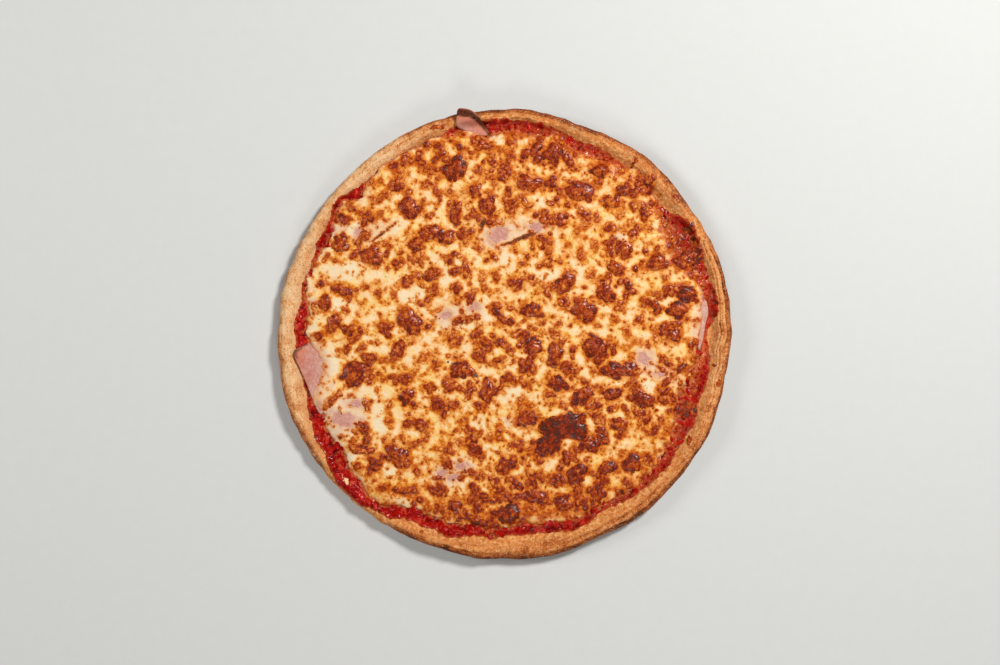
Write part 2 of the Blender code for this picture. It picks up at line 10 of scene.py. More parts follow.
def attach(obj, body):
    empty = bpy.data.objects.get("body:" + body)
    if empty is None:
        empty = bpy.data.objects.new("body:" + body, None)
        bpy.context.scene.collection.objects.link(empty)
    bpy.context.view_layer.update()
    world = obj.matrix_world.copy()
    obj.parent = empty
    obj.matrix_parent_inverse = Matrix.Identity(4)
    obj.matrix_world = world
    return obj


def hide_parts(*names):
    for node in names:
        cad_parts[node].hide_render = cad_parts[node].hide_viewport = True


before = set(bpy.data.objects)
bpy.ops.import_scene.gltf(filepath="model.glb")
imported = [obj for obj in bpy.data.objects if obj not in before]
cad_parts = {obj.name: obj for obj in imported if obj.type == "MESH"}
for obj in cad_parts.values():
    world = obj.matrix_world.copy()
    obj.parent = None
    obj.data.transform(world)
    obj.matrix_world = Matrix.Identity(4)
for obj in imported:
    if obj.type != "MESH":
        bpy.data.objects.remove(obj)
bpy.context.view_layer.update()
mm = 0.001  # shapes are worked out in millimetres, meshes are made in metres
print("frame loaded:", sorted(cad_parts))

# The layers and outlines of the solids: heights, then (angle in degrees from +X, radius) seen from above.
layers = {
    "seed": 1205,
    "base": 7.0,
    "gap": 0.35,
    "sauce": 1.2,
    "cheese": 3.0,
    "cheeseLip": 0.6,
    "cheeseSlope": 8.0,
    "ham": 1.3,
}
rimOutline = (
    (0, 152.8), (20, 153.0), (35, 150.7), (50, 152.5), (70, 149.4), (85, 152.3), (95, 151.2), (105, 151.9),
    (120, 151.2), (143, 150.6), (160, 151.9), (170, 154.6), (178, 153.8), (190, 155.1), (198, 156.2),
    (215, 155.4), (226, 154.4), (235, 153.8), (255, 152.5), (262, 153.9), (270, 153.1), (278, 154.4),
    (290, 152.5), (296, 151.8), (308, 154.2), (320, 153.0), (335, 153.4), (348, 151.3),
)
sauceOutline = (
    (0, 136.3), (5, 144.4), (9, 146.4), (14, 143.0), (20, 143.5), (27, 146.5), (33, 144.4), (36, 137.5),
    (41, 136.3), (49, 139.0), (62, 140.7), (70, 139.5), (78, 143.5), (86, 145.1), (95, 145.1), (106, 143.7),
    (111, 139.2), (130, 139.4), (138, 142.1), (142.5, 147.6), (146, 142.5), (156, 141.7), (163, 140.5),
    (168, 143.5), (171, 138.3), (174, 143.7), (182, 143.5), (190, 141.5), (197, 141.5), (202, 144.5),
    (208, 148.5), (214, 147.5), (218, 152.0), (221, 154.5), (229, 154.5), (234, 148.5), (237, 149.8),
    (241, 144.0), (250, 142.5), (255, 144.1), (261, 139.0), (266, 141.0), (271, 137.5), (280, 138.3),
    (290, 142.0), (299, 137.5), (307, 141.0), (320, 142.6), (328, 140.7), (335, 142.4), (340, 138.7),
    (347, 141.4), (354, 139.3),
)
cheeseOutline = (
    (0, 130.0), (6, 130.5), (10, 132.0), (13, 135.5), (20, 132.5), (24, 127.5), (31, 127.5), (36, 131.0),
    (42, 134.0), (46, 140.3), (52, 140.3), (56, 134.0), (61, 135.0), (69, 129.5), (72, 136.0),
    (77, 139.0), (81, 134.5), (90, 137.6), (94, 133.6), (97, 134.8), (100, 138.4), (104, 139.2),
    (111, 140.3), (130, 140.3), (138, 134.9), (141, 142.6), (148, 138.8), (153, 134.2), (160, 137.3),
    (167, 138.6), (174, 132.2), (181, 137.0), (184, 129.5), (190, 122.5), (193, 127.5), (198, 131.5),
    (203, 133.0), (207, 139.0), (216, 135.6), (221, 140.2), (229, 142.5), (232, 146.0), (238, 139.0),
    (242, 134.0), (255, 134.2), (270, 132.2), (275, 129.5), (290, 134.2), (300, 132.2), (310, 134.2),
    (325, 132.2), (331, 128.5), (336, 124.0), (341, 123.4), (352, 128.5),
)


def around(outline, angle):
    # radius at angles in degrees, with the corners rounded off over three degrees
    angles = [corner[0] for corner in outline]
    radii = [corner[1] for corner in outline]
    angle = np.asarray(angle, float)
    return sum(np.interp(angle + step, angles, radii, period=360) for step in (-1.5, 0.0, 1.5)) / 3


def onTurn(radius, angle):
    return radius * np.cos(np.radians(angle)), radius * np.sin(np.radians(angle))


def bell(angle, centre, spread):
    away = (np.asarray(angle, float) - centre + 180) % 360 - 180
    return np.exp(-((away / spread) ** 2))


def alongRim(places, angle):
    # sum of bells round the rim, each an (angle, spread, amount)
    return sum(amount * bell(angle, centre, spread) for centre, spread, amount in places)


def smooth(value, low=0.0, high=1.0):
    share = np.clip((value - low) / (high - low), 0, 1)
    return share * share * (3 - 2 * share)


def uneven(x, y, size, layer):
    # the same seeded noise as the solids have, from about -1 to 1
    x, y = np.broadcast_arrays(np.asarray(x, float), np.asarray(y, float))
    flat = [noise.noise(Vector((a / size, b / size, 7.31 * layer))) for a, b in zip(x.ravel(), y.ravel())]
    return 2.0 * np.array(flat).reshape(x.shape)


gradients = np.random.default_rng(layers["seed"]).uniform(0, 2 * math.pi, (64, 128, 128))


def ripple(x, y, size, layer, octaves=1):
    # gradient noise on whole arrays, from about -1 to 1; each octave is half as large and half as strong
    total = np.zeros(np.broadcast(x, y).shape)
    for octave in range(octaves):
        turns = gradients[(layer + 7 * octave) % 64]
        u, v = x / size * 2**octave + 31.7, y / size * 2**octave + 17.3
        i, j = np.floor(u).astype(int), np.floor(v).astype(int)
        fu, fv = u - i, v - j
        corners = []
        for di, dj in ((0, 0), (1, 0), (0, 1), (1, 1)):
            turn = turns[(i + di) % 128, (j + dj) % 128]
            corners.append(np.cos(turn) * (fu - di) + np.sin(turn) * (fv - dj))
        su, sv = fu**3 * (fu * (6 * fu - 15) + 10), fv**3 * (fv * (6 * fv - 15) + 10)
        low = corners[0] + su * (corners[1] - corners[0])
        high = corners[2] + su * (corners[3] - corners[2])
        total += 1.5 * (low + sv * (high - low)) / 2**octave
    return total


def outlineDistance(x, y, corners):
    # distance from a closed outline, negative inside it
    inside = np.zeros(np.shape(x), bool)
    for (ax, ay), (bx, by) in zip(corners, corners[1:] + corners[:1]):
        if ay != by:
            inside ^= ((ay > y) != (by > y)) & (x < ax + (y - ay) / (by - ay) * (bx - ax))
    nearest = lineDistance(x, y, corners + corners[:1])
    return np.where(inside, -nearest, nearest)


def lineDistance(x, y, line):
    # distance from a line of points; a third number in a point is the line's half width there
    nearest = np.full(np.shape(x), np.inf)
    for start, end in zip(line, line[1:]):
        dx, dy = end[0] - start[0], end[1] - start[1]
        share = np.clip(((x - start[0]) * dx + (y - start[1]) * dy) / (dx * dx + dy * dy), 0, 1)
        away = np.hypot(x - start[0] - share * dx, y - start[1] - share * dy)
        if len(start) > 2:
            away = away - start[2] - share * (end[2] - start[2])
        nearest = np.minimum(nearest, away)
    return nearest


def rounded(corners, steps=5):
    # a smooth closed curve through the corners
    points = []
    for index in range(len(corners)):
        a, b, c, d = (Vector(corners[(index + k) % len(corners)]) for k in (-1, 0, 1, 2))
        for step in range(steps):
            t = step / steps
            bend = (2 * a - 5 * b + 4 * c - d) * t * t + (3 * b - a - 3 * c + d) * t**3
            point = 0.5 * ((2 * b) + (c - a) * t + bend)
            points.append((point.x, point.y))
    area = sum(p[0] * q[1] - q[0] * p[1] for p, q in zip(points, points[1:] + points[:1]))
    return points if area > 0 else points[::-1]


def meshPiece(name, points, faces, fields=None, smoothShade=True):
    # points in millimetres; fields are one value for each point, kept as attributes for the materials
    mesh = bpy.data.meshes.new(name)
    mesh.from_pydata((np.asarray(points, float) * mm).tolist(), [], [list(face) for face in faces])
    for label, values in (fields or {}).items():
        layer = mesh.attributes.new(label, "FLOAT", "POINT")
        layer.data.foreach_set("value", np.asarray(values, np.float32))
    mesh.validate()
    if smoothShade:
        mesh.shade_smooth()
    piece = bpy.data.objects.new(name, mesh)
    bpy.context.scene.collection.objects.link(piece)
    return piece


def gridFaces(rows, columns, wrap):
    # quads of a grid of rows by columns of points; wrap joins the last column to the first
    across = columns if wrap else columns - 1
    row, column = np.meshgrid(np.arange(rows - 1), np.arange(across), indexing="ij")
    a, b = row * columns + column, row * columns + (column + 1) % columns
    return np.stack([a, b, b + columns, a + columns], axis=-1).reshape(-1, 4)


def nodeTree(name, inputs):
    # a Geometry Nodes tree with a geometry in and out, and named inputs: numbers, or a kind of socket
    tree = bpy.data.node_groups.new(name, "GeometryNodeTree")
    tree.interface.new_socket("Geometry", in_out="INPUT", socket_type="NodeSocketGeometry")
    tree.interface.new_socket("Geometry", in_out="OUTPUT", socket_type="NodeSocketGeometry")
    for label, value in inputs.items():
        if isinstance(value, str):
            tree.interface.new_socket(label, in_out="INPUT", socket_type="NodeSocket" + value)
        else:
            kind = "NodeSocketInt" if isinstance(value, int) else "NodeSocketFloat"
            tree.interface.new_socket(label, in_out="INPUT", socket_type=kind).default_value = value
    return tree, fieldsOf(tree, tree.nodes.new("NodeGroupInput")), tree.nodes.new("NodeGroupOutput").inputs


def plug(tree, value, socket):
    # links a node, or one of its outputs, to the socket, or sets the socket to a value
    value = getattr(value, "socket", value)
    if isinstance(value, bpy.types.Node):
        value = value.outputs[0]
    if isinstance(value, bpy.types.NodeSocket):
        tree.links.new(value, socket)
    else:
        socket.default_value = (*value, 1.0) if socket.type == "RGBA" else value


def addNode(tree, kind, values=(), **settings):
    # a node with its settings, and its inputs linked or set to values
    node = tree.nodes.new(kind)
    for key, value in settings.items():
        setattr(node, key, value)
    for key, value in dict(values).items():
        plug(tree, value, node.inputs[key])
    return node


class Field:
    # a value that a node puts out, so that sums of nodes can be written as sums
    def __init__(self, tree, socket):
        self.tree, self.socket = tree, socket

    def step(self, operation, first, second):
        node = addNode(self.tree, "ShaderNodeMath", {0: first, 1: second}, operation=operation)
        return Field(self.tree, node.outputs[0])

    def __add__(self, other):
        return self.step("ADD", self, other)

    def __sub__(self, other):
        return self.step("SUBTRACT", self, other)

    def __rsub__(self, other):
        return self.step("SUBTRACT", other, self)

    def __mul__(self, other):
        return self.step("MULTIPLY", self, other)

    def __truediv__(self, other):
        return self.step("DIVIDE", self, other)

    def __rtruediv__(self, other):
        return self.step("DIVIDE", other, self)

    def __pow__(self, other):
        return self.step("POWER", self, other)

    def clamped(self):
        # keeps the last step from 0 to 1
        self.socket.node.use_clamp = True
        return self

    def spread(self, low, high, newLow=0.0, newHigh=1.0):
        # goes gently from newLow to newHigh as the value goes from low to high
        limits = {"From Min": low, "From Max": high, "To Min": newLow, "To Max": newHigh}
        node = addNode(self.tree, "ShaderNodeMapRange", {"Value": self, **limits},
                       interpolation_type="SMOOTHSTEP")
        return Field(self.tree, node.outputs[0])

    def ramp(self, stops):
        # the colour at this place among stops of (place, colour)
        node = addNode(self.tree, "ShaderNodeValToRGB", {0: self})
        elements = node.color_ramp.elements
        elements.remove(elements[-1])
        elements[0].position, elements[0].color = stops[0][0], (*stops[0][1], 1)
        for place, colour in stops[1:]:
            elements.new(place).color = (*colour, 1)
        return node.outputs[0]


def fieldsOf(tree, node):
    # a node's outputs by name
    return {socket.name: Field(tree, socket) for socket in node.outputs if socket.name}


def named(tree, name):
    return Field(tree, addNode(tree, "GeometryNodeInputNamedAttribute", {"Name": name}).outputs[0])


def applyNodes(piece, tree, values, name):
    # runs the tree on the piece and returns the result as a plain mesh object
    modifier = piece.modifiers.new(tree.name, "NODES")
    modifier.node_group = tree
    for item in tree.interface.items_tree:
        if item.item_type == "SOCKET" and item.in_out == "INPUT" and item.name in values:
            modifier[item.identifier] = values[item.name]
    graph = bpy.context.evaluated_depsgraph_get()
    evaluated = piece.evaluated_get(graph)
    mesh = bpy.data.meshes.new_from_object(evaluated, preserve_all_data_layers=True, depsgraph=graph)
    mesh.name = name
    piece.modifiers.remove(modifier)
    made = bpy.data.objects.new(name, mesh)
    bpy.context.scene.collection.objects.link(made)
    bpy.data.objects.remove(piece)
    return made


def pushedBy(tree, start, size, height, detail=2.0):
    # a noise of the named size in millimetres, as a vector about zero with the named length in metres
    place = addNode(tree, "GeometryNodeInputPosition")
    field = addNode(tree, "ShaderNodeTexNoise", {
        "Vector": place, "W": start["Seed"], "Scale": (1 / mm) / start[size], "Detail": detail,
    }, noise_dimensions="4D")
    centred = addNode(tree, "ShaderNodeVectorMath", {0: field.outputs["Color"], 1: (0.5, 0.5, 0.5)},
                      operation="SUBTRACT")
    return addNode(tree, "ShaderNodeVectorMath", {0: centred, "Scale": start[height] * (2 * mm)},
                   operation="SCALE")


# Crust

crust = {
    "spread": 0.9,  # how far the dough bulges beyond the outline seen from above
    "height": 13.4, "unevenHeight": 1.1, "narrowRim": 7.0, "wideRim": 15.0,
    # the crest's distance from the edge, and its share of the rim's width
    "crestIn": 2.6, "crestShare": 0.36,
    "footExtra": 4.5, "undersideTurn": 7.5, "waistShare": 0.42,
    # where the rim is lower, and where it leans further in: angle, spread, millimetres
    "dip": (225, 14, 3.6), "flare": (312, 20, 1.6),
    "sectors": 1280, "lowerSteps": 10, "upperSteps": 22, "innerSteps": 34,
    "crags": {"Lump Height": 0.30, "Grain Height": 0.26, "Seed": 9},
    # lengthwise folds: angle, spread, share of the way up and over the rim, depth
    "folds": ((14, 22, 0.52, 0.9), (10, 16, 0.68, 0.8), (350, 13, 0.60, 0.7), (340, 14, 0.44, 0.6),
              (303, 20, 0.46, 0.9), (296, 12, 0.58, 0.5), (262, 12, 0.52, 0.6), (66, 9, 0.50, 0.6),
              (90, 12, 0.62, 0.5), (128, 14, 0.56, 0.35)),
    # where the rim is pale, scorched and dark at its outer edge: angle, spread, amount
    "pale": ((172, 44, 1.1), (348, 16, 0.35), (20, 25, 0.2), (137, 20, 1.0)),
    "scorched": ((71, 5, 0.9), (38, 4, 0.8), (275, 5, 0.7), (232, 14, 0.4), (303, 10, 0.6), (213, 5, 0.9)),
    "darkEdge": ((255, 55, 0.70), (355, 40, 0.60), (20, 20, 0.2), (90, 30, 0.75), (188, 12, 0.45),
                 (48, 10, 0.2), (206, 8, 0.4)),
    # where oil from the sauce has stained the dough further out
    "stained": ((52, 16, 1.0), (30, 6, 0.8), (127, 4, 0.8), (151, 6, 0.8), (161, 3, 0.8), (234, 12, 0.8),
                (271, 7, 0.8), (300, 8, 0.7)),
    # where the dough has been pulled lengthwise
    "pulled": ((10, 30, 1.0), (305, 28, 0.9), (258, 18, 0.5)),
}


def rimWidth(angle):
    # how far the bare rim reaches in from the outer edge, averaged over 16 degrees
    steps = np.arange(-8, 9, 2)[:, None]
    wide = around(rimOutline, angle + steps) - around(sauceOutline, angle + steps)
    return np.clip(wide, crust["narrowRim"], crust["wideRim"]).mean(axis=0)


def rimSections(angles):
    # (radius, height, share from the underside to the foot) of the crust's section at each angle
    x, y = onTurn(150.0, angles)
    edge = around(rimOutline, angles) + crust["spread"] + 0.4 * uneven(x, y, 9, 1)
    crest = crust["height"] + crust["unevenHeight"] * uneven(x, y, 26, 2)
    crest -= crust["dip"][2] * bell(angles, crust["dip"][0], crust["dip"][1])
    crestIn = crust["crestIn"] + crust["crestShare"] * rimWidth(angles) + 0.7 * uneven(x, y, 18, 3)
    crestIn += crust["flare"][2] * bell(angles, crust["flare"][0], crust["flare"][1])
    footIn = np.maximum(rimWidth(angles) + crust["footExtra"], crestIn + 4.0)
    waist = crust["waistShare"] * crest
    radii, heights, shares = [], [], []
    for step in range(crust["lowerSteps"]):
        lean = math.radians(90 * step / crust["lowerSteps"])
        radii.append(edge - crust["undersideTurn"] * (1 - math.sin(lean)))
        heights.append(waist * (1 - math.cos(lean)))
        shares.append(0.3 * step / crust["lowerSteps"])
    for step in range(crust["upperSteps"]):
        lean = math.radians(90 * step / crust["upperSteps"])
        radii.append(edge - crestIn * (1 - math.cos(lean)))
        heights.append(waist + (crest - waist) * math.sin(lean))
        shares.append(0.3 + 0.3 * step / crust["upperSteps"])
    for step in range(crust["innerSteps"] + 1):
        share = step / crust["innerSteps"]
        fall = 0.5 + 0.5 * math.cos(math.pi * share)
        radii.append(edge - crestIn - (footIn - crestIn) * share)
        heights.append(layers["base"] + (crest - layers["base"]) * fall)
        shares.append(0.6 + 0.4 * share)
    return np.array(radii), np.array(heights), np.array(shares)


sections = rimSections(np.arange(0, 360, 1.0))


def crustHeight(x, y):
    # height of the crust's upper side, held at the crest's height beyond the crest
    start = crust["lowerSteps"] + crust["upperSteps"]
    radii, heights = sections[0][start:][::-1], sections[1][start:][::-1]
    sector = np.degrees(np.arctan2(y, x)) % 360
    first = np.floor(sector).astype(int) % 360
    reach = np.hypot(x, y)
    found = []
    for side in (first, (first + 1) % 360):
        inner, outer = radii[0, side], radii[-1, side]
        place = np.clip((reach - inner) / (outer - inner), 0, 1) * (len(radii) - 1)
        low = np.minimum(np.floor(place).astype(int), len(radii) - 2)
        share = place - low
        found.append(heights[low, side] * (1 - share) + heights[low + 1, side] * share)
    blend = sector - np.floor(sector)
    return found[0] * (1 - blend) + found[1] * blend


def cragTree(material):
    # pushes a surface in and out by two sizes of noise, as far as its "rough" attribute lets it
    tree, start, end = nodeTree("crustCrags", {"Lump Size": 5.0, "Lump Height": 0.3, "Grain Size": 1.3,
                                               "Grain Height": 0.2, "Seed": 5})
    lumps = pushedBy(tree, start, "Lump Size", "Lump Height")
    grains = pushedBy(tree, start, "Grain Size", "Grain Height")
    both = addNode(tree, "ShaderNodeVectorMath", {0: lumps, 1: grains}, operation="ADD")
    height = fieldsOf(tree, addNode(tree, "ShaderNodeSeparateXYZ", {0: both}))["X"] * named(tree, "rough")
    normal = addNode(tree, "GeometryNodeInputNormal")
    push = addNode(tree, "ShaderNodeVectorMath", {0: normal, "Scale": height}, operation="SCALE")
    moved = addNode(tree, "GeometryNodeSetPosition", {"Geometry": start["Geometry"], "Offset": push})
    real = addNode(tree, "GeometryNodeRealizeInstances", {0: moved})
    plug(tree, addNode(tree, "GeometryNodeSetMaterial", {"Geometry": real, "Material": material}), end[0])
    return tree


def makeCrust(material):
    angles = np.arange(crust["sectors"]) * 360 / crust["sectors"]
    radii, heights, shares = rimSections(angles)
    x, y = onTurn(radii, angles)
    wide = shares[:, None] + 0 * radii
    rough = np.clip(wide * 8, 0, 1) * np.clip((1 - wide) * 8, 0, 1)
    upper = smooth(wide, 0.2, 0.42)
    fold = np.zeros_like(heights)
    for centre, spread, at, depth in crust["folds"]:
        line = at + 0.035 * ripple(x[0], y[0], 16, 10) + 0.012 * ripple(x[0], y[0], 4, 11)
        reach = bell(angles, centre, spread) * depth
        away = (wide - line) / 0.022
        fold += reach * (0.5 * np.exp(-(((away - 2.2) / 1.6) ** 2)) - np.exp(-(away**2)))
    # the dough's pull along the rim, strongest at the right and lower right
    strong = 0.35 + 0.65 * np.clip(alongRim(crust["pulled"], angles), 0, 1)
    length, across = angles[None, :] * 0.48 + 0 * radii, wide * 20
    pull = 0.26 * ripple(length, across, 1.0, 12, 3) * strong
    lumps = 0.40 * ripple(x, y, 6.5, 13, 2) + 0.16 * ripple(x, y, 2.4, 15, 2)
    streak = ripple(angles[None, :] * 0.16 + 0 * radii, wide * 24, 1.0, 16, 3)
    relief = (fold + (pull + lumps) * upper) * rough
    outward = np.clip(1 - (wide - 0.3) / 0.3, 0, 1) * upper
    heights = np.maximum(heights + relief * (1 - 0.6 * outward), 0.0)
    heights[0] = 0.0
    radii = radii + (0.6 * relief - 0.2 * rough) * outward
    x, y = onTurn(radii, angles)
    count = radii.shape[1]
    points = np.stack([x, y, heights], axis=-1).reshape(-1, 3)
    faces = gridFaces(len(radii), count, True).tolist()
    middles = len(points)
    points = np.vstack([points, [[0, 0, 0], [0, 0, layers["base"]]]])
    last = (len(radii) - 1) * count
    for sector in range(count):
        after = (sector + 1) % count
        faces.append([middles, after, sector])
        faces.append([middles + 1, last + sector, last + after])
    toEdge = around(rimOutline, angles) + crust["spread"] - radii
    toSauce = around(sauceOutline, angles) - radii
    burnt = alongRim(crust["scorched"], angles) * np.clip(1.2 - np.abs(toEdge - 3.0) / 3.2, 0, 1)
    fields = {
        "rough": (rough, 0, 0), "share": (wide, 0, 1), "inset": (toEdge, 100, 100),
        "nearSauce": (np.clip(1 + toSauce / (6.0 + 7.0 * alongRim(crust["stained"], angles)), 0, 1), 0, 1),
        "pale": (np.clip(alongRim(crust["pale"], angles), 0, 1) + 0 * radii, 0.5, 0.5),
        "darkEdge": (np.clip(alongRim(crust["darkEdge"], angles), 0, 1) + 0 * radii, 0, 0),
        "burnt": (burnt, 0, 0), "relief": (relief, 0, 0), "streak": (streak, 0, 0),
    }
    closed = {label: np.concatenate([values.ravel(), ends]) for label, (values, *ends) in fields.items()}
    piece = meshPiece("crustRough", points, faces, closed)
    made = applyNodes(piece, cragTree(material), crust["crags"], "crustBaked")
    made.data.shade_smooth()
    return made


# Ham: outlines of the slices, their browned rinds, and how the cheese lies over them

ham = {"spacing": 1.0, "roundOver": 0.9, "droop": 0.4, "curl": 0.45, "cover": 0.35, "sink": 0.5}
edgeHam = {
    "ham_top": (
        (-31.9, 151.4), (-24.0, 150.6), (-18.6, 146.2), (-14.4, 140.4), (-11.2, 135.0), (-16.6, 134.0),
        (-24.0, 136.6), (-32.6, 139.4), (-33.4, 145.4),
    ),
    "ham_left": (
        (-143.4, -12.8), (-136.8, -8.2), (-130.8, -6.6), (-125.6, -12.4), (-121.8, -20.4), (-121.6, -27.4),
        (-125.4, -33.6), (-126.2, -42.0), (-123.6, -53.0), (-127.0, -54.2), (-131.2, -45.0), (-135.2, -34.8),
        (-139.6, -24.0),
    ),
    "ham_right": (
        (132.6, 20.6), (136.0, 21.2), (137.2, 14.0), (135.4, 5.6), (133.8, -3.6), (131.2, -11.4),
        (129.9, -6.0), (130.7, 4.0), (131.4, 12.0),
    ),
}
windowHam = {
    "ham_middle": (
        (-12.9, 71.2), (-5.0, 75.4), (7.0, 76.0), (18.5, 76.4), (29.0, 74.9), (34.2, 71.8), (26.0, 68.0),
        (15.5, 65.2), (5.0, 61.4), (-4.0, 59.4), (-11.0, 62.6),
    ),
    "ham_centre_left": (
        (-46.8, 14.2), (-39.0, 18.4), (-27.0, 21.2), (-18.4, 19.6), (-15.4, 12.4), (-24.4, 7.6),
        (-35.0, 3.6), (-44.8, 4.4),
    ),
    "ham_upper_left": (
        (-105.0, 66.2), (-100.6, 73.6), (-88.5, 75.4), (-74.0, 77.4), (-80.5, 69.6), (-90.0, 61.4),
        (-98.0, 62.2),
    ),
    "ham_lower_left": (
        (-120.8, -51.4), (-114.0, -48.4), (-105.8, -44.4), (-98.0, -46.4), (-99.2, -54.0), (-104.2, -62.6),
        (-112.6, -65.0), (-118.8, -60.0),
    ),
    "ham_lower": (
        (-34.6, -86.0), (-27.4, -83.8), (-23.8, -88.6), (-29.8, -95.2), (-37.2, -103.4), (-47.0, -103.0),
        (-51.0, -97.0), (-42.8, -91.0),
    ),
    "ham_right_inner": (
        (88.8, -11.8), (95.2, -9.2), (100.6, -15.8), (109.0, -21.6), (117.0, -24.6), (117.4, -31.6),
        (110.6, -35.4), (101.0, -30.6), (91.0, -27.6),
    ),
}
hamLoops = {name: rounded(corners) for name, corners in {**edgeHam, **windowHam}.items()}
# browned rinds as lines over the slices: x, y, half width
rinds = {
    "ham_top": ((-31.8, 148.9, 2.6), (-24.6, 147.9, 2.1), (-19.2, 144.6, 1.7), (-15.0, 139.8, 1.0),
                (-11.4, 134.6, 0.5)),
    "ham_left": ((-141.4, -17.6, 0.1), (-143.2, -13.0, 0.9), (-137.0, -8.6, 0.4), (-131.0, -6.8, 0.0)),
}
rindShades = {"ham_top": 1.0, "ham_left": 0.8}
# how milky a skin of cheese lies on the bare slices
veils = {"ham_top": 0.15, "ham_left": 0.55, "ham_right": 0.9}
# the dark rinds of covered slices, seen as streaks in the cheese: x, y, half width
streaks = (
    ((-2.7, 59.8, 0.4), (5.0, 61.8, 0.6), (10.0, 64.0, 1.1), (15.0, 66.0, 0.9), (21.5, 68.8, 0.5)),
    ((-90.5, 62.2, 0.35), (-82.5, 68.4, 0.6), (-75.0, 74.6, 0.35)),
    ((-17.0, 72.6, 0.8), (-15.6, 74.6, 1.3), (-14.4, 77.4, 0.8)),
)
# holes in the cheese with a slice to be seen in them: x, y, length, width, turn
hamGaps = (
    (-5, 66.5, 14, 10, 30), (20, 72, 9, 6, 0), (-21.7, 17.6, 7, 5, 0), (-41, 11.5, 9, 6, 10),
    (-100.5, 68, 8, 4, 80), (-110, -58.5, 17, 9, -10), (-101, -48.5, 9, 6, 0), (-29.8, -90.5, 9, 6, -10),
    (-43.5, -95, 7, 6, 0), (-36, -97.5, 8, 5, 0), (93.5, -17, 8, 9, 0), (105, -28, 8, 4, 0),
)
# thin pinkish grey places: x, y, length, width, turn
faintHam = (
    (-130, 20, 9, 11, 80), (73, 110, 10, 8, 0), (77, 64, 10, 9, 0), (2, -60, 8, 9, 0),
    (-109, -57, 40, 27, 62), (-112, 70, 16, 10, 30), (97, -20, 18, 14, -30), (-40, 13, 16, 10, 15),
    (-2, 66, 26, 16, 20), (-38, -94, 26, 14, 20), (118, 112, 12, 9, 60), (-30, 140, 22, 8, 20),
    (-119, -37, 12, 6, 60), (-94, 54, 18, 6, 60), (128, 8, 30, 5, 85),
)


# Cheese: the browned places and the blisters, then fields on a fine raster of the pizza seen from above

cheese = {
    "grid": 310, "rasterStep": 0.4, "rasterHalf": 158.0,
    "edgeWobble": ((11.0, 1.3, 20), (5.5, 1.3, 21), (2.4, 0.7, 22)),  # size, amount, noise layer
    # where it creeps further out, over a slice's edge or the sauce: angle, spread, millimetres
    "creep": ((199, 4.5, 7.5), (189, 4.0, 3.5), (5, 9, 3.6), (102, 3, 1.5), (320, 30, 2.0), (45, 14, 1.5),
              (170, 12, 1.5)),
    "patchRise": 1.0, "halo": (0.85, 0.28),  # browning round a blister reaches so far, and more by its size
    "sheetTone": 0.60, "sheetBend": 1.15,  # the deepest tone between blisters, and how rare it is
    "contrast": 0.26, "evenedOver": 8.0,
    # noise in the outlines of what is browned, and in the browning: size, amount, noise layer, octaves
    "ragged": ((4.2, 0.8, 40), (1.7, 0.35, 41)),
    "mottled": ((3.0, 0.12, 44, 2), (1.5, 0.08, 45, 1), (11, 0.05, 46, 1)),
    "hotEdge": (50, 50, 0.25), "paleEdge": (180, 60, 0.6),  # angle, spread, amount
}
blisters = {
    # how many of each size, their largest and smallest radius, the gap between them, and how often at least
    # one grows where the oven was least hot
    "medium": (1300, (2.9, 0.85), 0.8, 0.06), "small": (1500, (0.95, 0.42), 0.12, 0.35),
    "within": 146,  # they are at most so far from the middle
    "tries": 60,
    # their browning: the least, and what the oven's heat and each millimetre of radius add
    "brown": (0.37, 0.28, 0.22),
    "charred": 1.15,  # from this darkness on, patches have few lobes, with no lighter tops
    "touching": 0.45,  # share of the medium ones that grow out of an earlier one
    "family": 5,  # at most so many grow together
    "stretch": 0.6, "rise": 0.23, "reach": 1.14,  # how far the skirt of a blister reaches, in its radii
    # how far they reach out over the sauce: angle, spread, millimetres
    "beyond": ((20, 26, 9.0), (340, 14, 9.0), (312, 16, 3.0), (75, 14, 2.5), (270, 30, 2.0)),
}
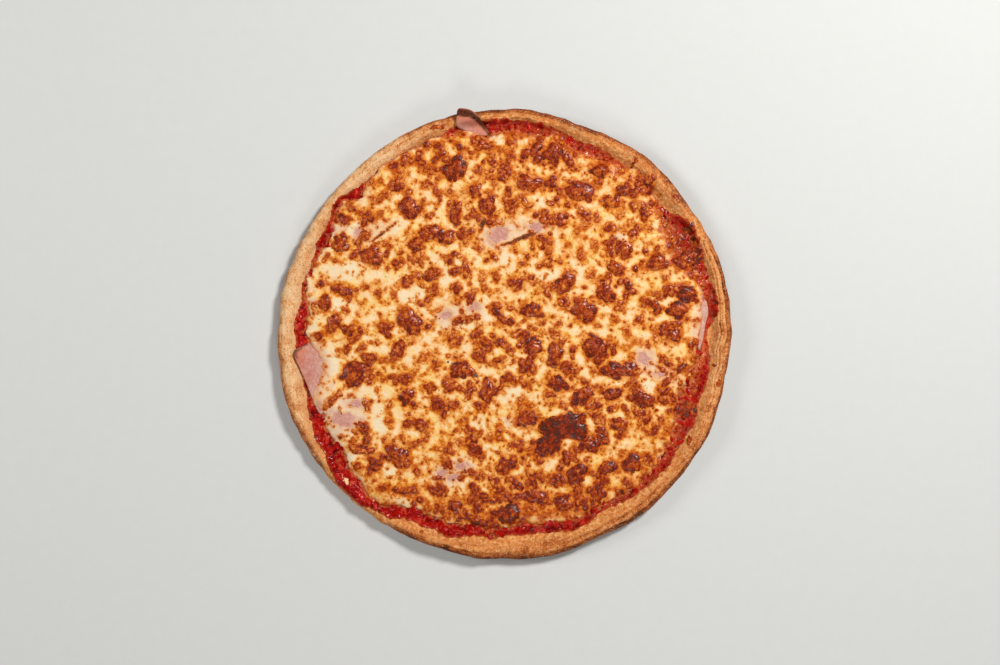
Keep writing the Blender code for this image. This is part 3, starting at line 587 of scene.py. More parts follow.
# the largest browned patches: x, y, length, width, turn, how dark
patches = (
    (38.5, -63.5, 28, 19, 15, 1.25), (29.5, -74.0, 18, 14, 60, 1.30), (49.0, -66.0, 13, 12, -30, 1.2),
    (24.5, -80.0, 10, 7, 20, 1.1), (75.9, -25.8, 24, 10, 5, 1.0), (60.3, -10.2, 20, 15, -40, 0.95),
    (51.5, 94.9, 20, 12, -10, 0.9), (-102.4, -27.1, 17, 15, 40, 0.95), (-34.6, 111.2, 16, 14, 60, 1.05),
    (1.4, -123.0, 18, 12, 5, 1.1), (-1.4, -112.0, 30, 5, 8, 0.9), (-64.4, 7.5, 20, 11, -50, 0.85),
    (53.6, 15.6, 18, 12, -45, 0.85), (-28.5, -25.8, 16, 11, 10, 0.9), (-73.9, -83.4, 18, 11, -30, 0.85),
    (-74.6, -12.9, 17, 8, 65, 0.8), (92.2, -45.4, 17, 11, -15, 1.0), (-92.2, 51.5, 15, 13, 0, 0.8),
    (32.5, -15.6, 16, 9, 90, 0.9), (-68.5, -106.4, 16, 6, 0, 0.85), (15.6, 101.0, 16, 10, -5, 0.8),
    (-33.9, 80.7, 16, 8, 85, 0.8), (35.3, -33.9, 15, 9, -30, 0.9), (40.0, 33.9, 15, 10, 50, 0.85),
    (67.8, 27.8, 14, 12, -60, 0.85), (123.4, 26.4, 14, 11, -20, 1.0), (52.2, -42.0, 14, 11, 35, 1.0),
    (33.2, 122.0, 14, 11, 70, 0.95), (-66.4, 84.8, 14, 12, 20, 0.9), (21.0, -111.0, 14, 9, -15, 0.95),
    (48.1, -96.3, 14, 11, 50, 1.05), (-52.2, 67.8, 13, 9, 20, 0.9), (17.6, -9.5, 13, 9, 5, 0.95),
    (-12.2, -39.3, 13, 10, 60, 0.95), (17.0, 14.9, 13, 8, 15, 0.85), (-116.6, 6.8, 13, 8, 80, 0.8),
    (-50.2, 40.0, 13, 8, 10, 0.85), (120.5, 50.0, 13, 11, 0, 0.95), (-60.3, 60.3, 12, 9, 30, 0.85),
    (-111.9, 29.2, 12, 8, -20, 0.8), (13.6, -59.0, 12, 10, 40, 0.95), (-113.2, 60.3, 12, 11, 70, 0.85),
    (38.0, -115.3, 12, 9, 0, 0.95), (71.9, 88.8, 12, 8, 0, 0.85), (102.4, 48.1, 12, 10, 30, 0.9),
    (71.9, -41.4, 12, 8, 10, 1.0), (84.8, -88.8, 11, 10, 0, 1.0), (57.0, -75.9, 11, 10, 0, 1.05),
    (68.5, -91.5, 11, 8, 20, 1.0), (64.4, 109.2, 11, 9, 0, 0.9), (80.7, 97.0, 9, 9, 0, 0.85),
    (80.0, 56.3, 12, 10, 90, 0.85), (73.9, 44.0, 12, 9, 0, 0.85), (-40.0, 64.4, 11, 9, 0, 0.85),
    (-11.5, 86.8, 14, 10, 90, 0.8), (-123.4, 19.7, 10, 8, 90, 0.85), (-67.8, -42.0, 11, 8, 90, 0.85),
    (-58.3, -61.7, 11, 8, 150, 0.85), (78.0, -62.4, 10, 8, 0, 0.95), (113.2, -1.4, 9, 9, 0, 0.9),
    (115.3, 15.6, 11, 11, 0, 0.9), (-20.3, 96.3, 10, 8, 90, 0.8), (-92.2, -17.6, 9, 8, 0, 0.85),
    (-107.1, 2.0, 8, 7, 0, 0.8), (-33.9, -117.3, 9, 8, 0, 0.9), (-21.0, -127.5, 8, 6, 0, 0.95),
    (122.0, -51.5, 13, 10, 0, 1.05), (124.8, 52.2, 13, 12, 0, 1.0), (124.0, 71.0, 9, 7, 30, 1.05),
    (127.5, 63.0, 8, 6, 80, 1.0), (116.0, 62.0, 11, 8, 40, 0.85), (119.5, -24.0, 8, 6, 0, 0.9),
    (128.0, -39.6, 7, 5, 60, 1.0), (-117.3, -45.8, 17, 4.5, 46, 0.65), (-95.3, -48.1, 10, 4, 105, 0.60),
    (-97.6, -64.4, 10, 7, -40, 0.8), (-94.2, -71.9, 7, 6, 0, 0.95), (-111.9, -53.6, 7, 2.4, 110, 0.45),
    (-104.4, -48.8, 4, 3, 0, 0.45), (-97.6, -79.3, 17, 6, -10, 0.75), (-27.8, 9.0, 20, 5, 15, 0.7),
    (-98.3, 64.4, 13, 6, 35, 0.8),
)
# what fell on the bare rim: x, y, length, width, turn, how dark the cheese is, or below 0 for a pale crumb
strayBits = (
    (97.0, 104.4, 9, 6.5, 45, 0.9), (86.8, 115.6, 8, 3, 65, 0.8), (-46.0, 139.5, 10, 3.6, 10, 0.7),
    (144.6, -33.9, 5.5, 4, 60, 0.85), (141.0, -51.0, 3, 2.2, 70, 0.8), (141.0, -22.0, 4, 2.2, 140, 0.85),
    (123.8, -72.8, 6, 4.5, 50, 0.9), (-10.2, -137.0, 10, 5, -40, 0.85), (-57.0, -134.4, 3, 2.4, 20, 0.8),
    (104.0, 94.0, 4, 3, 20, 0.6), (115.0, 92.0, 7, 3.2, 128, 0.75), (-108.4, -100.4, 5.4, 4.0, 110, -0.85),
)
# pale places with few blisters: x, y, length, width, turn
bareZones = (
    (-26, 7.5, 40, 8, 12), (-87, -56, 36, 9, 100), (-76, -91, 20, 14, 0), (-19, -64, 18, 11, 80),
    (-37, -102, 26, 9, 5), (-77, 71, 30, 8, 35), (-101, 69, 14, 12, 0), (-109, 42, 34, 12, 10),
    (-38, 40, 22, 11, 60), (-35, 70, 10, 18, 0), (24, 87, 14, 9, 0), (56, 108, 12, 9, 0),
    (48, 44, 8, 22, 0), (97, -22, 20, 10, -30), (5, -41, 18, 12, 20), (79, 65, 12, 9, 0),
    (108, 22, 20, 9, -10), (95, -37, 12, 14, 0), (-131, 2, 8, 12, 0), (-64, 26, 22, 16, 0),
    (26, 38, 24, 9, 0), (-5, 131, 18, 7, 0), (15, 131, 22, 6, 0), (-109, -58, 38, 24, 62),
    (-3, 66, 20, 13, 20), (-106, -84, 24, 9, 60), (-67, -115, 34, 7, -25), (30, -125, 14, 5, 0),
    (-2, 50, 18, 8, 20), (10, 68, 24, 9, 10), (-114, 19, 14, 9, 0), (-98, -31, 10, 16, 0),
    (-118, -18, 9, 22, 0),
)


def cheeseEdge(angle):
    # the cheese's outline with its small lobes, and where it creeps over a slice's edge
    radius = around(cheeseOutline, angle) + alongRim(cheese["creep"], angle)
    x, y = onTurn(135.0, angle)
    for size, amount, layer in cheese["edgeWobble"]:
        radius = radius + amount * ripple(x, y, size, layer)
    return radius


edgeAngles = np.arange(0, 360, 0.25)
edgeRadii = cheeseEdge(edgeAngles)


def cheeseInset(x, y):
    # how far inside the cheese's outline a point lies
    return np.interp(np.degrees(np.arctan2(y, x)), edgeAngles, edgeRadii, period=360) - np.hypot(x, y)


def ellipseShare(x, y, shape):
    # 0 at the middle of an ellipse (x, y, length, width, turn), 1 at its edge
    turn = np.radians(shape[4])
    along, across = x - shape[0], y - shape[1]
    u = (along * np.cos(turn) + across * np.sin(turn)) / (0.5 * shape[2])
    v = (across * np.cos(turn) - along * np.sin(turn)) / (0.5 * shape[3])
    return np.hypot(u, v)


def bakeLevel(x, y):
    # how strongly the oven has browned this side: most at the lower right and the top, least at the left
    x, y = np.asarray(x, float), np.asarray(y, float)
    pale = 0.16 * np.exp(-((x + 85) ** 2 + (y + 75) ** 2) / 45**2)
    return 0.350 - pale + 0.0008 * x - 0.0007 * y + 0.000027 * y * y + 0.12 * ripple(x, y, 45, 30)


def turned(x, y, along, across, lean):
    # a place so far along and across a line through x, y that leans so many radians
    return (x + along * math.cos(lean) - across * math.sin(lean),
            y + along * math.sin(lean) + across * math.cos(lean))


def patchDomes(patch, draw):
    # a browned patch is a few broad lobes in a row with smaller ones round them
    px, py, length, width, turn, dark = patch
    lean = math.radians(turn)
    shapes = []
    main = max(1, round(1.7 * length / width))
    for index in range(main):
        along = ((index + 0.5) / main - 0.5) * (length - 0.75 * width) * 1.15
        size = width * draw.uniform(0.28, 0.44)
        shapes.append((along, draw.uniform(-0.16, 0.16) * width, size, draw.uniform(1.0, 1.5), 0.9))
    charred = dark >= blisters["charred"]
    for _ in range(round((length + width) / (7.0 if charred else 3.8))):
        spin, share = draw.uniform(0, 2 * math.pi), draw.uniform(0.55, 1.05)
        size = min(width, 12) * draw.uniform(0.11, 0.25)
        shapes.append((0.5 * length * share * math.cos(spin), 0.5 * width * share * math.sin(spin), size,
                       draw.uniform(1.0, 1.5), 1.04))
    domes = []
    for along, across, size, stretch, shade in shapes:
        x, y = turned(px, py, along, across, lean)
        domes.append({"x": x, "y": y, "along": size * stretch, "across": size / stretch**0.5,
                      "turn": turn + draw.uniform(-35, 35),
                      "rise": (min(0.20 * size, 0.7) if dark > 0 else 1.2) * draw.uniform(0.7, 1.2),
                      "brown": (0.55 + 0.58 * dark) * shade * draw.uniform(0.86, 1.04),
                      "style": 0.0 if charred else draw.uniform(0.2, 0.7)})
    return domes


def patchBubbles(draw):
    # the small bubbles crowded on each browned patch that isn't charred
    bubbles = []
    for px, py, length, width, turn, dark in patches:
        if dark >= blisters["charred"]:
            continue
        lean = math.radians(turn)
        for _ in range(round(length * width / 28)):
            spin, share = draw.uniform(0, 2 * math.pi), 0.96 * math.sqrt(draw.random())
            along, across = 0.5 * length * share * math.cos(spin), 0.5 * width * share * math.sin(spin)
            size, stretch = draw.uniform(0.9, 2.1), draw.uniform(1.0, 1.5)
            x, y = turned(px, py, along, across, lean)
            bubbles.append({"x": x, "y": y, "along": size * stretch, "across": size / stretch**0.5,
                            "turn": draw.uniform(0, 180), "rise": 0.16 * size * draw.uniform(0.6, 1.2),
                            "style": draw.uniform(0.2, 0.8),
                            "brown": (0.50 + 0.60 * dark) * draw.uniform(0.78, 1.06)})
    return bubbles


def placeDomes():
    # every blister on the pizza, in three sizes: broad lobes, medium blisters and dots
    draw = random.Random(layers["seed"])
    broad = [dome for patch in patches for dome in patchDomes(patch, draw)]
    cells = {}
    bareShapes, gapShapes = np.array(bareZones, float).T, np.array(hamGaps, float).T

    def note(dome):
        key = (int(dome["x"] // 8), int(dome["y"] // 8))
        cells.setdefault(key, []).append((dome["x"], dome["y"], math.sqrt(dome["along"] * dome["across"])))

    def crowded(x, y, radius, closeness, extra):
        i, j = int(x // 8), int(y // 8)
        keys = [(i + across, j + along) for across in (-1, 0, 1) for along in (-1, 0, 1)]
        near = [spot for key in keys for spot in cells.get(key, ())]
        return any((x - a) ** 2 + (y - b) ** 2 < (closeness * (radius + r) + extra) ** 2 for a, b, r in near)

    def wanted(x, y, radius, least):
        # whether a blister may grow here: inside the cheese, rarely on pale places, never over a rind
        reach, angle = math.hypot(x, y), math.degrees(math.atan2(y, x)) % 360
        out = draw.random() * float(alongRim(blisters["beyond"], angle))
        if edgeRadii[int(angle * 4) % len(edgeRadii)] - reach < 0.3 + 0.8 * radius - out:
            return False
        if any(lineDistance(np.array(x), np.array(y), line) < 0.5 * radius for line in streaksNear(x, y)):
            return False
        if ellipseShare(x, y, gapShapes).min() < 0.9 and draw.random() < 0.6:
            return False
        bare = ellipseShare(x, y, bareShapes).min()
        if bare < 1.05 and draw.random() < (0.90 if radius > 1 else 0.45) * (1 - (bare / 1.05) ** 3):
            return False
        gathered = float(ripple(np.array(x), np.array(y), 15, 31, 2))
        dense = 0.72 + 0.40 * gathered + 0.7 * (float(bakeLevel(x, y)) - 0.5)
        return draw.random() < max(dense, least)

    for dome in broad:
        note(dome)
    sizes = []
    plain, byHeat, bySize = blisters["brown"]
    for kind in ("medium", "small"):
        wantedCount, (first, last), gap, least = blisters[kind]
        placed, families = [], {}
        for index in range(wantedCount):
            radius = first + (last - first) * (index / wantedCount) ** 0.5
            for _ in range(blisters["tries"]):
                family, closeness, extra = index, 1.0, gap
                reach, angle = math.sqrt(draw.random()) * blisters["within"], draw.uniform(0, 2 * math.pi)
                x, y = reach * math.cos(angle), reach * math.sin(angle)
                if placed and kind == "medium" and draw.random() < blisters["touching"]:
                    parent, spin = draw.choice(placed), draw.uniform(0, 2 * math.pi)
                    family, closeness, extra = parent["family"], 0.74, 0.0
                    if families[family] >= blisters["family"]:
                        continue
                    away = (parent["across"] + radius) * draw.uniform(0.8, 1.0)
                    x, y = parent["x"] + away * math.cos(spin), parent["y"] + away * math.sin(spin)
                if crowded(x, y, radius, closeness, extra) or not wanted(x, y, radius, least):
                    continue
                level = float(bakeLevel(x, y))
                size, stretch = radius * (0.9 + 0.2 * level), 1 + blisters["stretch"] * draw.random() ** 2
                brown = plain + byHeat * level + bySize * radius + draw.uniform(-0.18, 0.12)
                dome = {"x": x, "y": y, "along": size * stretch, "across": size / stretch**0.4,
                        "turn": draw.uniform(0, 180),
                        "rise": blisters["rise"] * size * draw.uniform(0.8, 1.2),
                        "brown": min(max(brown, 0.42), 1.0), "family": family,
                        "style": draw.uniform(0.3, 1.0) * float(smooth(radius, 0.6, 1.7))}
                families[family] = families.get(family, 0) + 1
                placed.append(dome)
                note(dome)
                break
        sizes.append(placed)
    return broad, sizes[0], sizes[1]


def streaksNear(x, y):
    return [line for line in streaks if math.hypot(x - line[1][0], y - line[1][1]) < 24]


broadDomes, mediumDomes, dots = placeDomes()
print("blisters placed:", len(broadDomes), len(mediumDomes), len(dots))


def localMean(field, inside, reach):
    # mean over the square of so many samples each way, of the samples that are inside
    reach = round(reach)

    def boxed(values):
        for _ in range(2):
            total = np.cumsum(np.pad(values, ((reach + 1, reach), (0, 0)), mode="edge"), axis=0)
            values = ((total[2 * reach + 1:] - total[:-2 * reach - 1]) / (2 * reach + 1)).T
        return values

    return boxed(field * inside) / np.maximum(boxed(inside.astype(float)), 0.02)


def makeFields():
    # how high and how brown the cheese is round its blisters, on the raster
    step, half = cheese["rasterStep"], cheese["rasterHalf"]
    axis = np.arange(-half, half + step / 2, step)
    gx, gy = np.meshgrid(axis, axis, indexing="ij")
    wx, wy = gx, gy
    for size, amount, layer in cheese["ragged"]:
        wx, wy = wx + amount * ripple(gx, gy, size, layer), wy + amount * ripple(gx, gy, size, layer + 2)
    rise, core, clear = np.zeros_like(gx), np.zeros_like(gx), np.ones_like(gx)

    def window(x, y, margin):
        i0, i1 = np.searchsorted(axis, (x - margin, x + margin))
        j0, j1 = np.searchsorted(axis, (y - margin, y + margin))
        return slice(i0, i1), slice(j0, j1)

    for patch in patches:
        part = window(patch[0], patch[1], patch[2])
        q = ellipseShare(wx[part], wy[part], patch)
        rise[part] = np.maximum(rise[part], cheese["patchRise"] * np.clip(1 - q * q, 0, 1) ** 0.7)
        core[part] = np.maximum(core[part], 0.80 * patch[5] * (1 - smooth(q, 0.75, 1.05)))
    for dome in broadDomes + mediumDomes + dots:
        size = math.sqrt(dome["along"] * dome["across"])
        part = window(dome["x"], dome["y"], dome["along"] + 7)
        shape = (dome["x"], dome["y"], 2 * dome["along"], 2 * dome["across"], dome["turn"])
        q = ellipseShare(wx[part], wy[part], shape)
        skirt = 0.35 * dome["rise"] * np.clip(1 - (q / 1.7) ** 2, 0, 1) ** 2
        rise[part] += skirt * (1 if size < 3 else 0.4)
        outside = np.clip(q - 1, 0, None) * size
        halo = cheese["halo"][0] + cheese["halo"][1] * min(size, 3)
        core[part] = np.maximum(core[part], 0.72 * dome["brown"] * np.exp(-((outside / halo) ** 2)))
        wide = 1.0 + 0.5 * min(size, 3.5)
        clear[part] *= 1 - 0.85 * min(dome["brown"], 1) ** 2 * np.exp(-((outside / wide) ** 1.2))
    for line in streaks:
        part = window(line[1][0], line[1][1], 20)
        away = lineDistance(wx[part], wy[part], line)
        core[part] = np.maximum(core[part], 0.75 * (1 - smooth(away, -0.2, 1.8)))
    bare = np.min([ellipseShare(wx, wy, zone) for zone in bareZones], axis=0)
    # browning near blisters, evened out over wide areas so that each place keeps pale parts
    inside = cheeseInset(gx, gy) > 0
    score = 1 - clear
    reach = cheese["evenedOver"] / step
    score = score - localMean(score, inside, reach)
    score = cheese["contrast"] * score / (np.sqrt(localMean(score * score, inside, reach)) + 0.06)
    for size, amount, layer, octaves in cheese["mottled"]:
        score += amount * ripple(gx, gy, size, layer, octaves)
    score += 0.6 * (bakeLevel(gx, gy) - 0.5) - 0.14 * (1 - smooth(bare, 0.6, 1.3))
    # the edge at the upper right has caught the heat
    nearEdge = 1 - smooth(cheeseInset(gx, gy), 0.0, 6.0)
    score += alongRim([cheese["hotEdge"]], np.degrees(np.arctan2(gy, gx))) * nearEdge
    # the sheet's browning is spread evenly from raw to the deepest tone between blisters
    bareSheet = (core < 0.5) & inside
    ordered = np.sort(score[bareSheet])
    rank = np.searchsorted(ordered, score) / len(ordered)
    brown = np.maximum(core, cheese["sheetTone"] * rank ** cheese["sheetBend"])
    return axis, np.minimum(rise, 2.0), brown


def sampler(axis, field):
    # reads a raster field at points, between its samples
    step = axis[1] - axis[0]

    def read(x, y):
        u = np.clip((x - axis[0]) / step, 0, len(axis) - 1.001)
        v = np.clip((y - axis[0]) / step, 0, len(axis) - 1.001)
        i, j = np.floor(u).astype(int), np.floor(v).astype(int)
        fu, fv = u - i, v - j
        low = field[i, j] * (1 - fu) + field[i + 1, j] * fu
        high = field[i, j + 1] * (1 - fu) + field[i + 1, j + 1] * fu
        return low * (1 - fv) + high * fv

    return read


rasterAxis, riseField, brownField = makeFields()
readRise, readBrown = sampler(rasterAxis, riseField), sampler(rasterAxis, brownField)
print("cheese fields made:", brownField.shape)


def hamTint(x, y):
    # 1 where a slice lies close under the cheese, 0 away from any
    ragged = 1.8 * ripple(x, y, 5, 50, 2)
    tint = 1 - smooth(gapShare(x, y), 0.9, 2.3)
    for name in windowHam:
        away = outlineDistance(x, y, hamLoops[name]) + ragged
        tint = np.maximum(tint, 0.4 * (1 - smooth(away, -1.5, 2.0)))
    for name in edgeHam:
        away = outlineDistance(x, y, hamLoops[name]) + 0.4 * ragged
        tint = np.maximum(tint, np.maximum(1 - smooth(away, -0.5, 1.5), 0.55 * (1 - smooth(away, 1.0, 6.0))))
    for zone in faintHam:
        tint = np.maximum(tint, 0.55 * (1 - smooth(ellipseShare(x, y, zone) + 0.12 * ragged, 0.5, 1.1)))
    return tint


def gapShare(x, y):
    # 0 at the middle of a hole over a slice and 1 at its ragged edge
    shares = [ellipseShare(x, y, gap) for gap in hamGaps]
    return np.min(shares, axis=0) + 0.55 * ripple(x, y, 4.0, 55, 2)


def hamShown(x, y):
    # 1 where the cheese has drawn back from a slice, 0 where it covers it
    inside = np.max([-outlineDistance(x, y, hamLoops[name]) for name in windowHam], axis=0)
    return smooth(inside, 0.2, 1.4) * (1 - smooth(gapShare(x, y), 0.7, 1.0))


def plainCheese(x, y):
    # height of the cheese's top without its blisters and wrinkles
    share = np.clip(cheeseInset(x, y) / layers["cheeseSlope"], 0, 1)
    lying = crustHeight(x, y) + layers["gap"] * 2 + layers["sauce"]
    thick = layers["cheeseLip"] + (layers["cheese"] - layers["cheeseLip"]) * np.sin(0.5 * math.pi * share)
    return lying + thick + 0.55 * uneven(x, y, 24, 30) * share


def windowHamTop(x, y):
    return plainCheese(x, y) - ham["cover"] + ham["curl"] * ripple(x, y, 14, 70)


def edgeHamTop(x, y):
    lying = crustHeight(x, y) + layers["gap"] * 2 + layers["sauce"]
    return lying + layers["ham"] + 0.1 + ham["curl"] * ripple(x, y, 14, 70)


def cheeseTop(x, y):
    inset = cheeseInset(x, y)
    share = np.clip(inset / layers["cheeseSlope"], 0, 1)
    rise = readRise(x, y) * (0.35 + 0.65 * smooth(inset, 0, 3))
    wrinkles = 0.30 * ripple(x, y, 7, 52, 2) + 0.13 * ripple(x, y, 2.6, 56, 2)
    top = plainCheese(x, y) + wrinkles * share + rise - 0.4 * (1 - smooth(inset, 0.0, 1.6))
    shown, level = hamShown(x, y), windowHamTop(x, y)
    covered = np.maximum(top, level + 0.15)
    covering = np.max([-outlineDistance(x, y, hamLoops[name]) for name in windowHam], axis=0) > -1.5
    top = np.where(covering, covered, top)
    top = top * (1 - shown) + (level - ham["sink"]) * shown
    for name in edgeHam:
        over = 1 - smooth(outlineDistance(x, y, hamLoops[name]), -0.2, 1.4)
        lumpShadeAndTone = edgeHamTop(x, y) + 0.1 + 0.5 * smooth(inset, 0.3, 2.5)
        lumpShadeAndTone -= 1.4 * (1 - smooth(inset, -0.2, 0.5))
        top = np.where(over > 0, np.maximum(top, top * (1 - over) + lumpShadeAndTone * over), top)
    return top


def saucyShare(x, y):
    # where thin cheese and sauce have baked together: near the outer edge, and in a wide place at the right
    angle = np.degrees(np.arctan2(y, x))
    depth = 1.6 + 8.5 * bell(angle, 26, 9) + 3.0 * bell(angle, 340, 14) + 1.8 * ripple(x, y, 8, 51, 2)
    return 1 - smooth(cheeseInset(x, y), 0.2, np.maximum(depth, 0.8))


def makeCheese(material):
    # a square grid drawn out into the cheese's outline, closed by a wall and an underside
    side = cheese["grid"] + 1
    line = np.linspace(-1, 1, side)
    u, v = np.meshgrid(line, line, indexing="ij")
    wide = np.abs(u) > np.abs(v)
    long, short = np.where(wide, u, v), np.where(wide, v, u)
    slope = math.pi / 4 * short / np.where(long == 0, 1, long)
    turn = np.where(wide, slope, math.pi / 2 - slope) + np.where(long < 0, math.pi, 0)
    angle = np.degrees(turn) % 360
    x, y = onTurn(np.abs(long) * np.interp(angle, edgeAngles, edgeRadii, period=360), angle)
    points = np.stack([x, y, cheeseTop(x, y)], axis=-1).reshape(-1, 3)
    faces = gridFaces(side, side, False)
    a, b, c = (points[faces[0, k]] for k in (0, 1, 2))
    if np.cross(b - a, c - a)[2] < 0:
        faces = faces[:, ::-1]
    index = np.arange(side * side).reshape(side, side)
    border = np.concatenate([index[0, :-1], index[:-1, -1], index[-1, :0:-1], index[:0:-1, 0]])
    bx, by = points[border, 0], points[border, 1]
    if np.sum(bx * np.roll(by, -1) - np.roll(bx, -1) * by) < 0:
        border = border[::-1]
        bx, by = bx[::-1], by[::-1]
    count = len(border)
    deep = layers["gap"] * 2 + layers["sauce"]
    ring = np.stack([bx * 0.998, by * 0.998, crustHeight(bx, by) + layers["gap"] + 0.15], axis=-1)
    inner = np.stack([bx * 0.9, by * 0.9, crustHeight(bx * 0.9, by * 0.9) + deep], axis=-1)
    start = len(points)
    points = np.vstack([points, ring, inner, [[0, 0, layers["base"] + deep]]])
    k = np.arange(count)
    after = (k + 1) % count
    wall = np.stack([border, start + k, start + after, border[after]], axis=-1)
    under = np.stack([start + k, start + count + k, start + count + after, start + after], axis=-1)
    middle = start + 2 * count
    faces = faces.tolist() + wall.tolist() + under.tolist()
    faces += [[start + count + j, middle, start + count + (j + 1) % count] for j in range(count)]
    px, py = points[:, 0], points[:, 1]
    bare = np.min([ellipseShare(px, py, zone) for zone in bareZones], axis=0)
    bare += 0.15 * ripple(px, py, 5, 53, 2)
    # the edge is pale all along the left
    edge = np.clip(1 - cheeseInset(px, py) / 3.0, 0, 1)
    edge *= 0.2 + alongRim([cheese["paleEdge"]], np.degrees(np.arctan2(py, px)))
    piece = meshPiece("cheeseMelted", points, faces, {
        "brown": readBrown(px, py) * (0.25 + 0.75 * smooth(gapShare(px, py), 0.9, 1.5)),
        "tint": hamTint(px, py), "saucy": saucyShare(px, py),
        "pale": np.maximum(1 - smooth(bare, 0.75, 1.25), edge),
    })
    piece.data.materials.append(material)
    return piece


def domeHelper(name, segments, rings):
    # a low dome on a thin skirt, in attributes: "lift" is its height, "share" goes from its foot to its top,
    # "skirt" is 1 on the skirt
    points, lift, skirt = [], [], []
    for ring in range(rings + 1):
        q = blisters["reach"] * (1 - ring / (rings + 1)) ** 0.8
        for sector in range(segments):
            spin = 2 * math.pi * (sector + 0.5 * (ring % 2)) / segments
            points.append((q * math.cos(spin), q * math.sin(spin), 0))
            lift.append(-0.12 if ring == 0 else max(1 - (q / blisters["reach"]) ** 2, 0.0) ** 0.95)
            skirt.append(float(np.clip((q - 0.84) / (blisters["reach"] - 0.86), 0, 1)))
    points += [(0, 0, 0), (0, 0, 0)]
    lift += [1.0, -0.3]
    skirt += [0.0, 1.0]
    top = len(points) - 2
    faces = gridFaces(rings + 1, segments, True).tolist()
    for sector in range(segments):
        after = (sector + 1) % segments
        faces.append([top, rings * segments + sector, rings * segments + after])
        faces.append([top + 1, after, sector])
    share = [max(value, 0.0) for value in lift]
    return meshPiece(name, np.array(points) / mm, faces, {"lift": lift, "share": share, "skirt": skirt})


def drapeTree():
    # sets a dome on each point, lays it on the surface below, and makes its outline and top uneven
    tree, start, end = nodeTree("drapedDomes", {
        "Dome": "Object", "Surface": "Object", "Material": "Material",
        "Warp Size": 2.6, "Warp": 0.35, "Grain Size": 0.9, "Grain": 0.12, "Seed": 3,
    })
    dome = addNode(tree, "GeometryNodeObjectInfo", {"Object": start["Dome"]})
    surface = addNode(tree, "GeometryNodeObjectInfo", {"Object": start["Surface"]})
    size = addNode(tree, "ShaderNodeCombineXYZ", {0: named(tree, "along"), 1: named(tree, "across"), 2: 1.0})
    turn = addNode(tree, "ShaderNodeCombineXYZ", {0: 0.0, 1: 0.0, 2: named(tree, "turn")})
    placed = addNode(tree, "GeometryNodeInstanceOnPoints", {
        "Points": start["Geometry"], "Rotation": addNode(tree, "FunctionNodeEulerToRotation", {0: turn}),
        "Instance": dome.outputs["Geometry"], "Scale": size,
    })
    real = addNode(tree, "GeometryNodeRealizeInstances", {0: placed})
    sideways = addNode(tree, "ShaderNodeVectorMath", {
        0: pushedBy(tree, start, "Warp Size", "Warp"), 1: (1, 1, 0)}, operation="MULTIPLY")
    warped = addNode(tree, "GeometryNodeSetPosition", {"Geometry": real, "Offset": sideways})
    place = addNode(tree, "GeometryNodeInputPosition")
    above = addNode(tree, "ShaderNodeVectorMath", {0: place, 1: (0, 0, 1.0)}, operation="ADD")
    ray = addNode(tree, "GeometryNodeRaycast", {
        "Target Geometry": surface.outputs["Geometry"], "Attribute": named(tree, "brown"),
        "Source Position": above, "Ray Direction": (0, 0, -1), "Ray Length": 2.0,
    })
    # each dome keeps the browning of what lies under it, for its skirt to run out into
    noted = addNode(tree, "GeometryNodeStoreNamedAttribute", {"Geometry": warped, "Name": "below",
                                                              "Value": ray.outputs["Attribute"]})
    grainHeight = fieldsOf(tree, addNode(tree, "ShaderNodeSeparateXYZ", {
        0: pushedBy(tree, start, "Grain Size", "Grain", 1.0)}))["Z"]
    lift = named(tree, "lift") * named(tree, "rise") + grainHeight * named(tree, "share")
    raised = addNode(tree, "ShaderNodeCombineXYZ", {0: 0.0, 1: 0.0, 2: lift})
    resting = addNode(tree, "ShaderNodeVectorMath", {0: ray.outputs["Hit Position"], 1: raised},
                      operation="ADD")
    draped = addNode(tree, "GeometryNodeSetPosition", {"Geometry": noted, "Position": resting})
    soft = addNode(tree, "GeometryNodeSetShadeSmooth", {"Geometry": draped, "Shade Smooth": True})
    solid = addNode(tree, "GeometryNodeRealizeInstances", {0: soft})
    painted = addNode(tree, "GeometryNodeSetMaterial", {"Geometry": solid, "Material": start["Material"]})
    plug(tree, painted, end[0])
    return tree


def makeDomes(name, domes, helper, surface, tree, material, values):
    points = np.array([(dome["x"], dome["y"], 0) for dome in domes])
    fields = {key: np.array([dome[key] for dome in domes]) for key in ("brown", "style")}
    for key in ("along", "across", "rise"):
        fields[key] = np.array([dome[key] for dome in domes]) * mm
    fields["turn"] = np.radians([dome["turn"] for dome in domes])
    seeds = meshPiece(name + "Points", points, [], fields)
    given = {"Dome": helper, "Surface": surface, "Material": material, **values}
    return applyNodes(seeds, tree, given, name)


def joinedCopy(name, pieces):
    # one mesh of several pieces with their browning, as a surface for others to lie on
    points, faces, brown = [], [], []
    for piece in pieces:
        start, mesh = len(points), piece.data
        points += [vertex.co / mm for vertex in mesh.vertices]
        faces += [[start + corner for corner in face.vertices] for face in mesh.polygons]
        known = mesh.attributes.get("brown")
        brown += [item.value for item in known.data] if known else [0.5] * len(mesh.vertices)
    return meshPiece(name, points, faces, {"brown": brown})


# Sauce

sauce = {
    "sectors": 1500, "rows": 46,
    # the unevenness of its edge and of its top: size, amount, noise layer
    "wobble": ((6.0, 1.0, 60), (2.4, 0.7, 61)),
    "pulp": ((7.0, 0.75, 62), (3.2, 0.50, 64), (1.5, 0.16, 66)),
    "bits": 260, "bitRadii": (2.0, 0.6),
    # where it is scorched, and where a film of cheese and oil lies on it: angle, spread, amount
    "scorched": ((25, 10, 0.9), (338, 9, 0.45), (160, 6, 0.3), (300, 30, 0.3)),
    "film": ((31, 7, 1.0), (16, 8, 0.5), (350, 12, 1.0), (332, 9, 0.6), (310, 12, 0.35), (80, 14, 0.3),
             (60, 10, 0.4)),
}


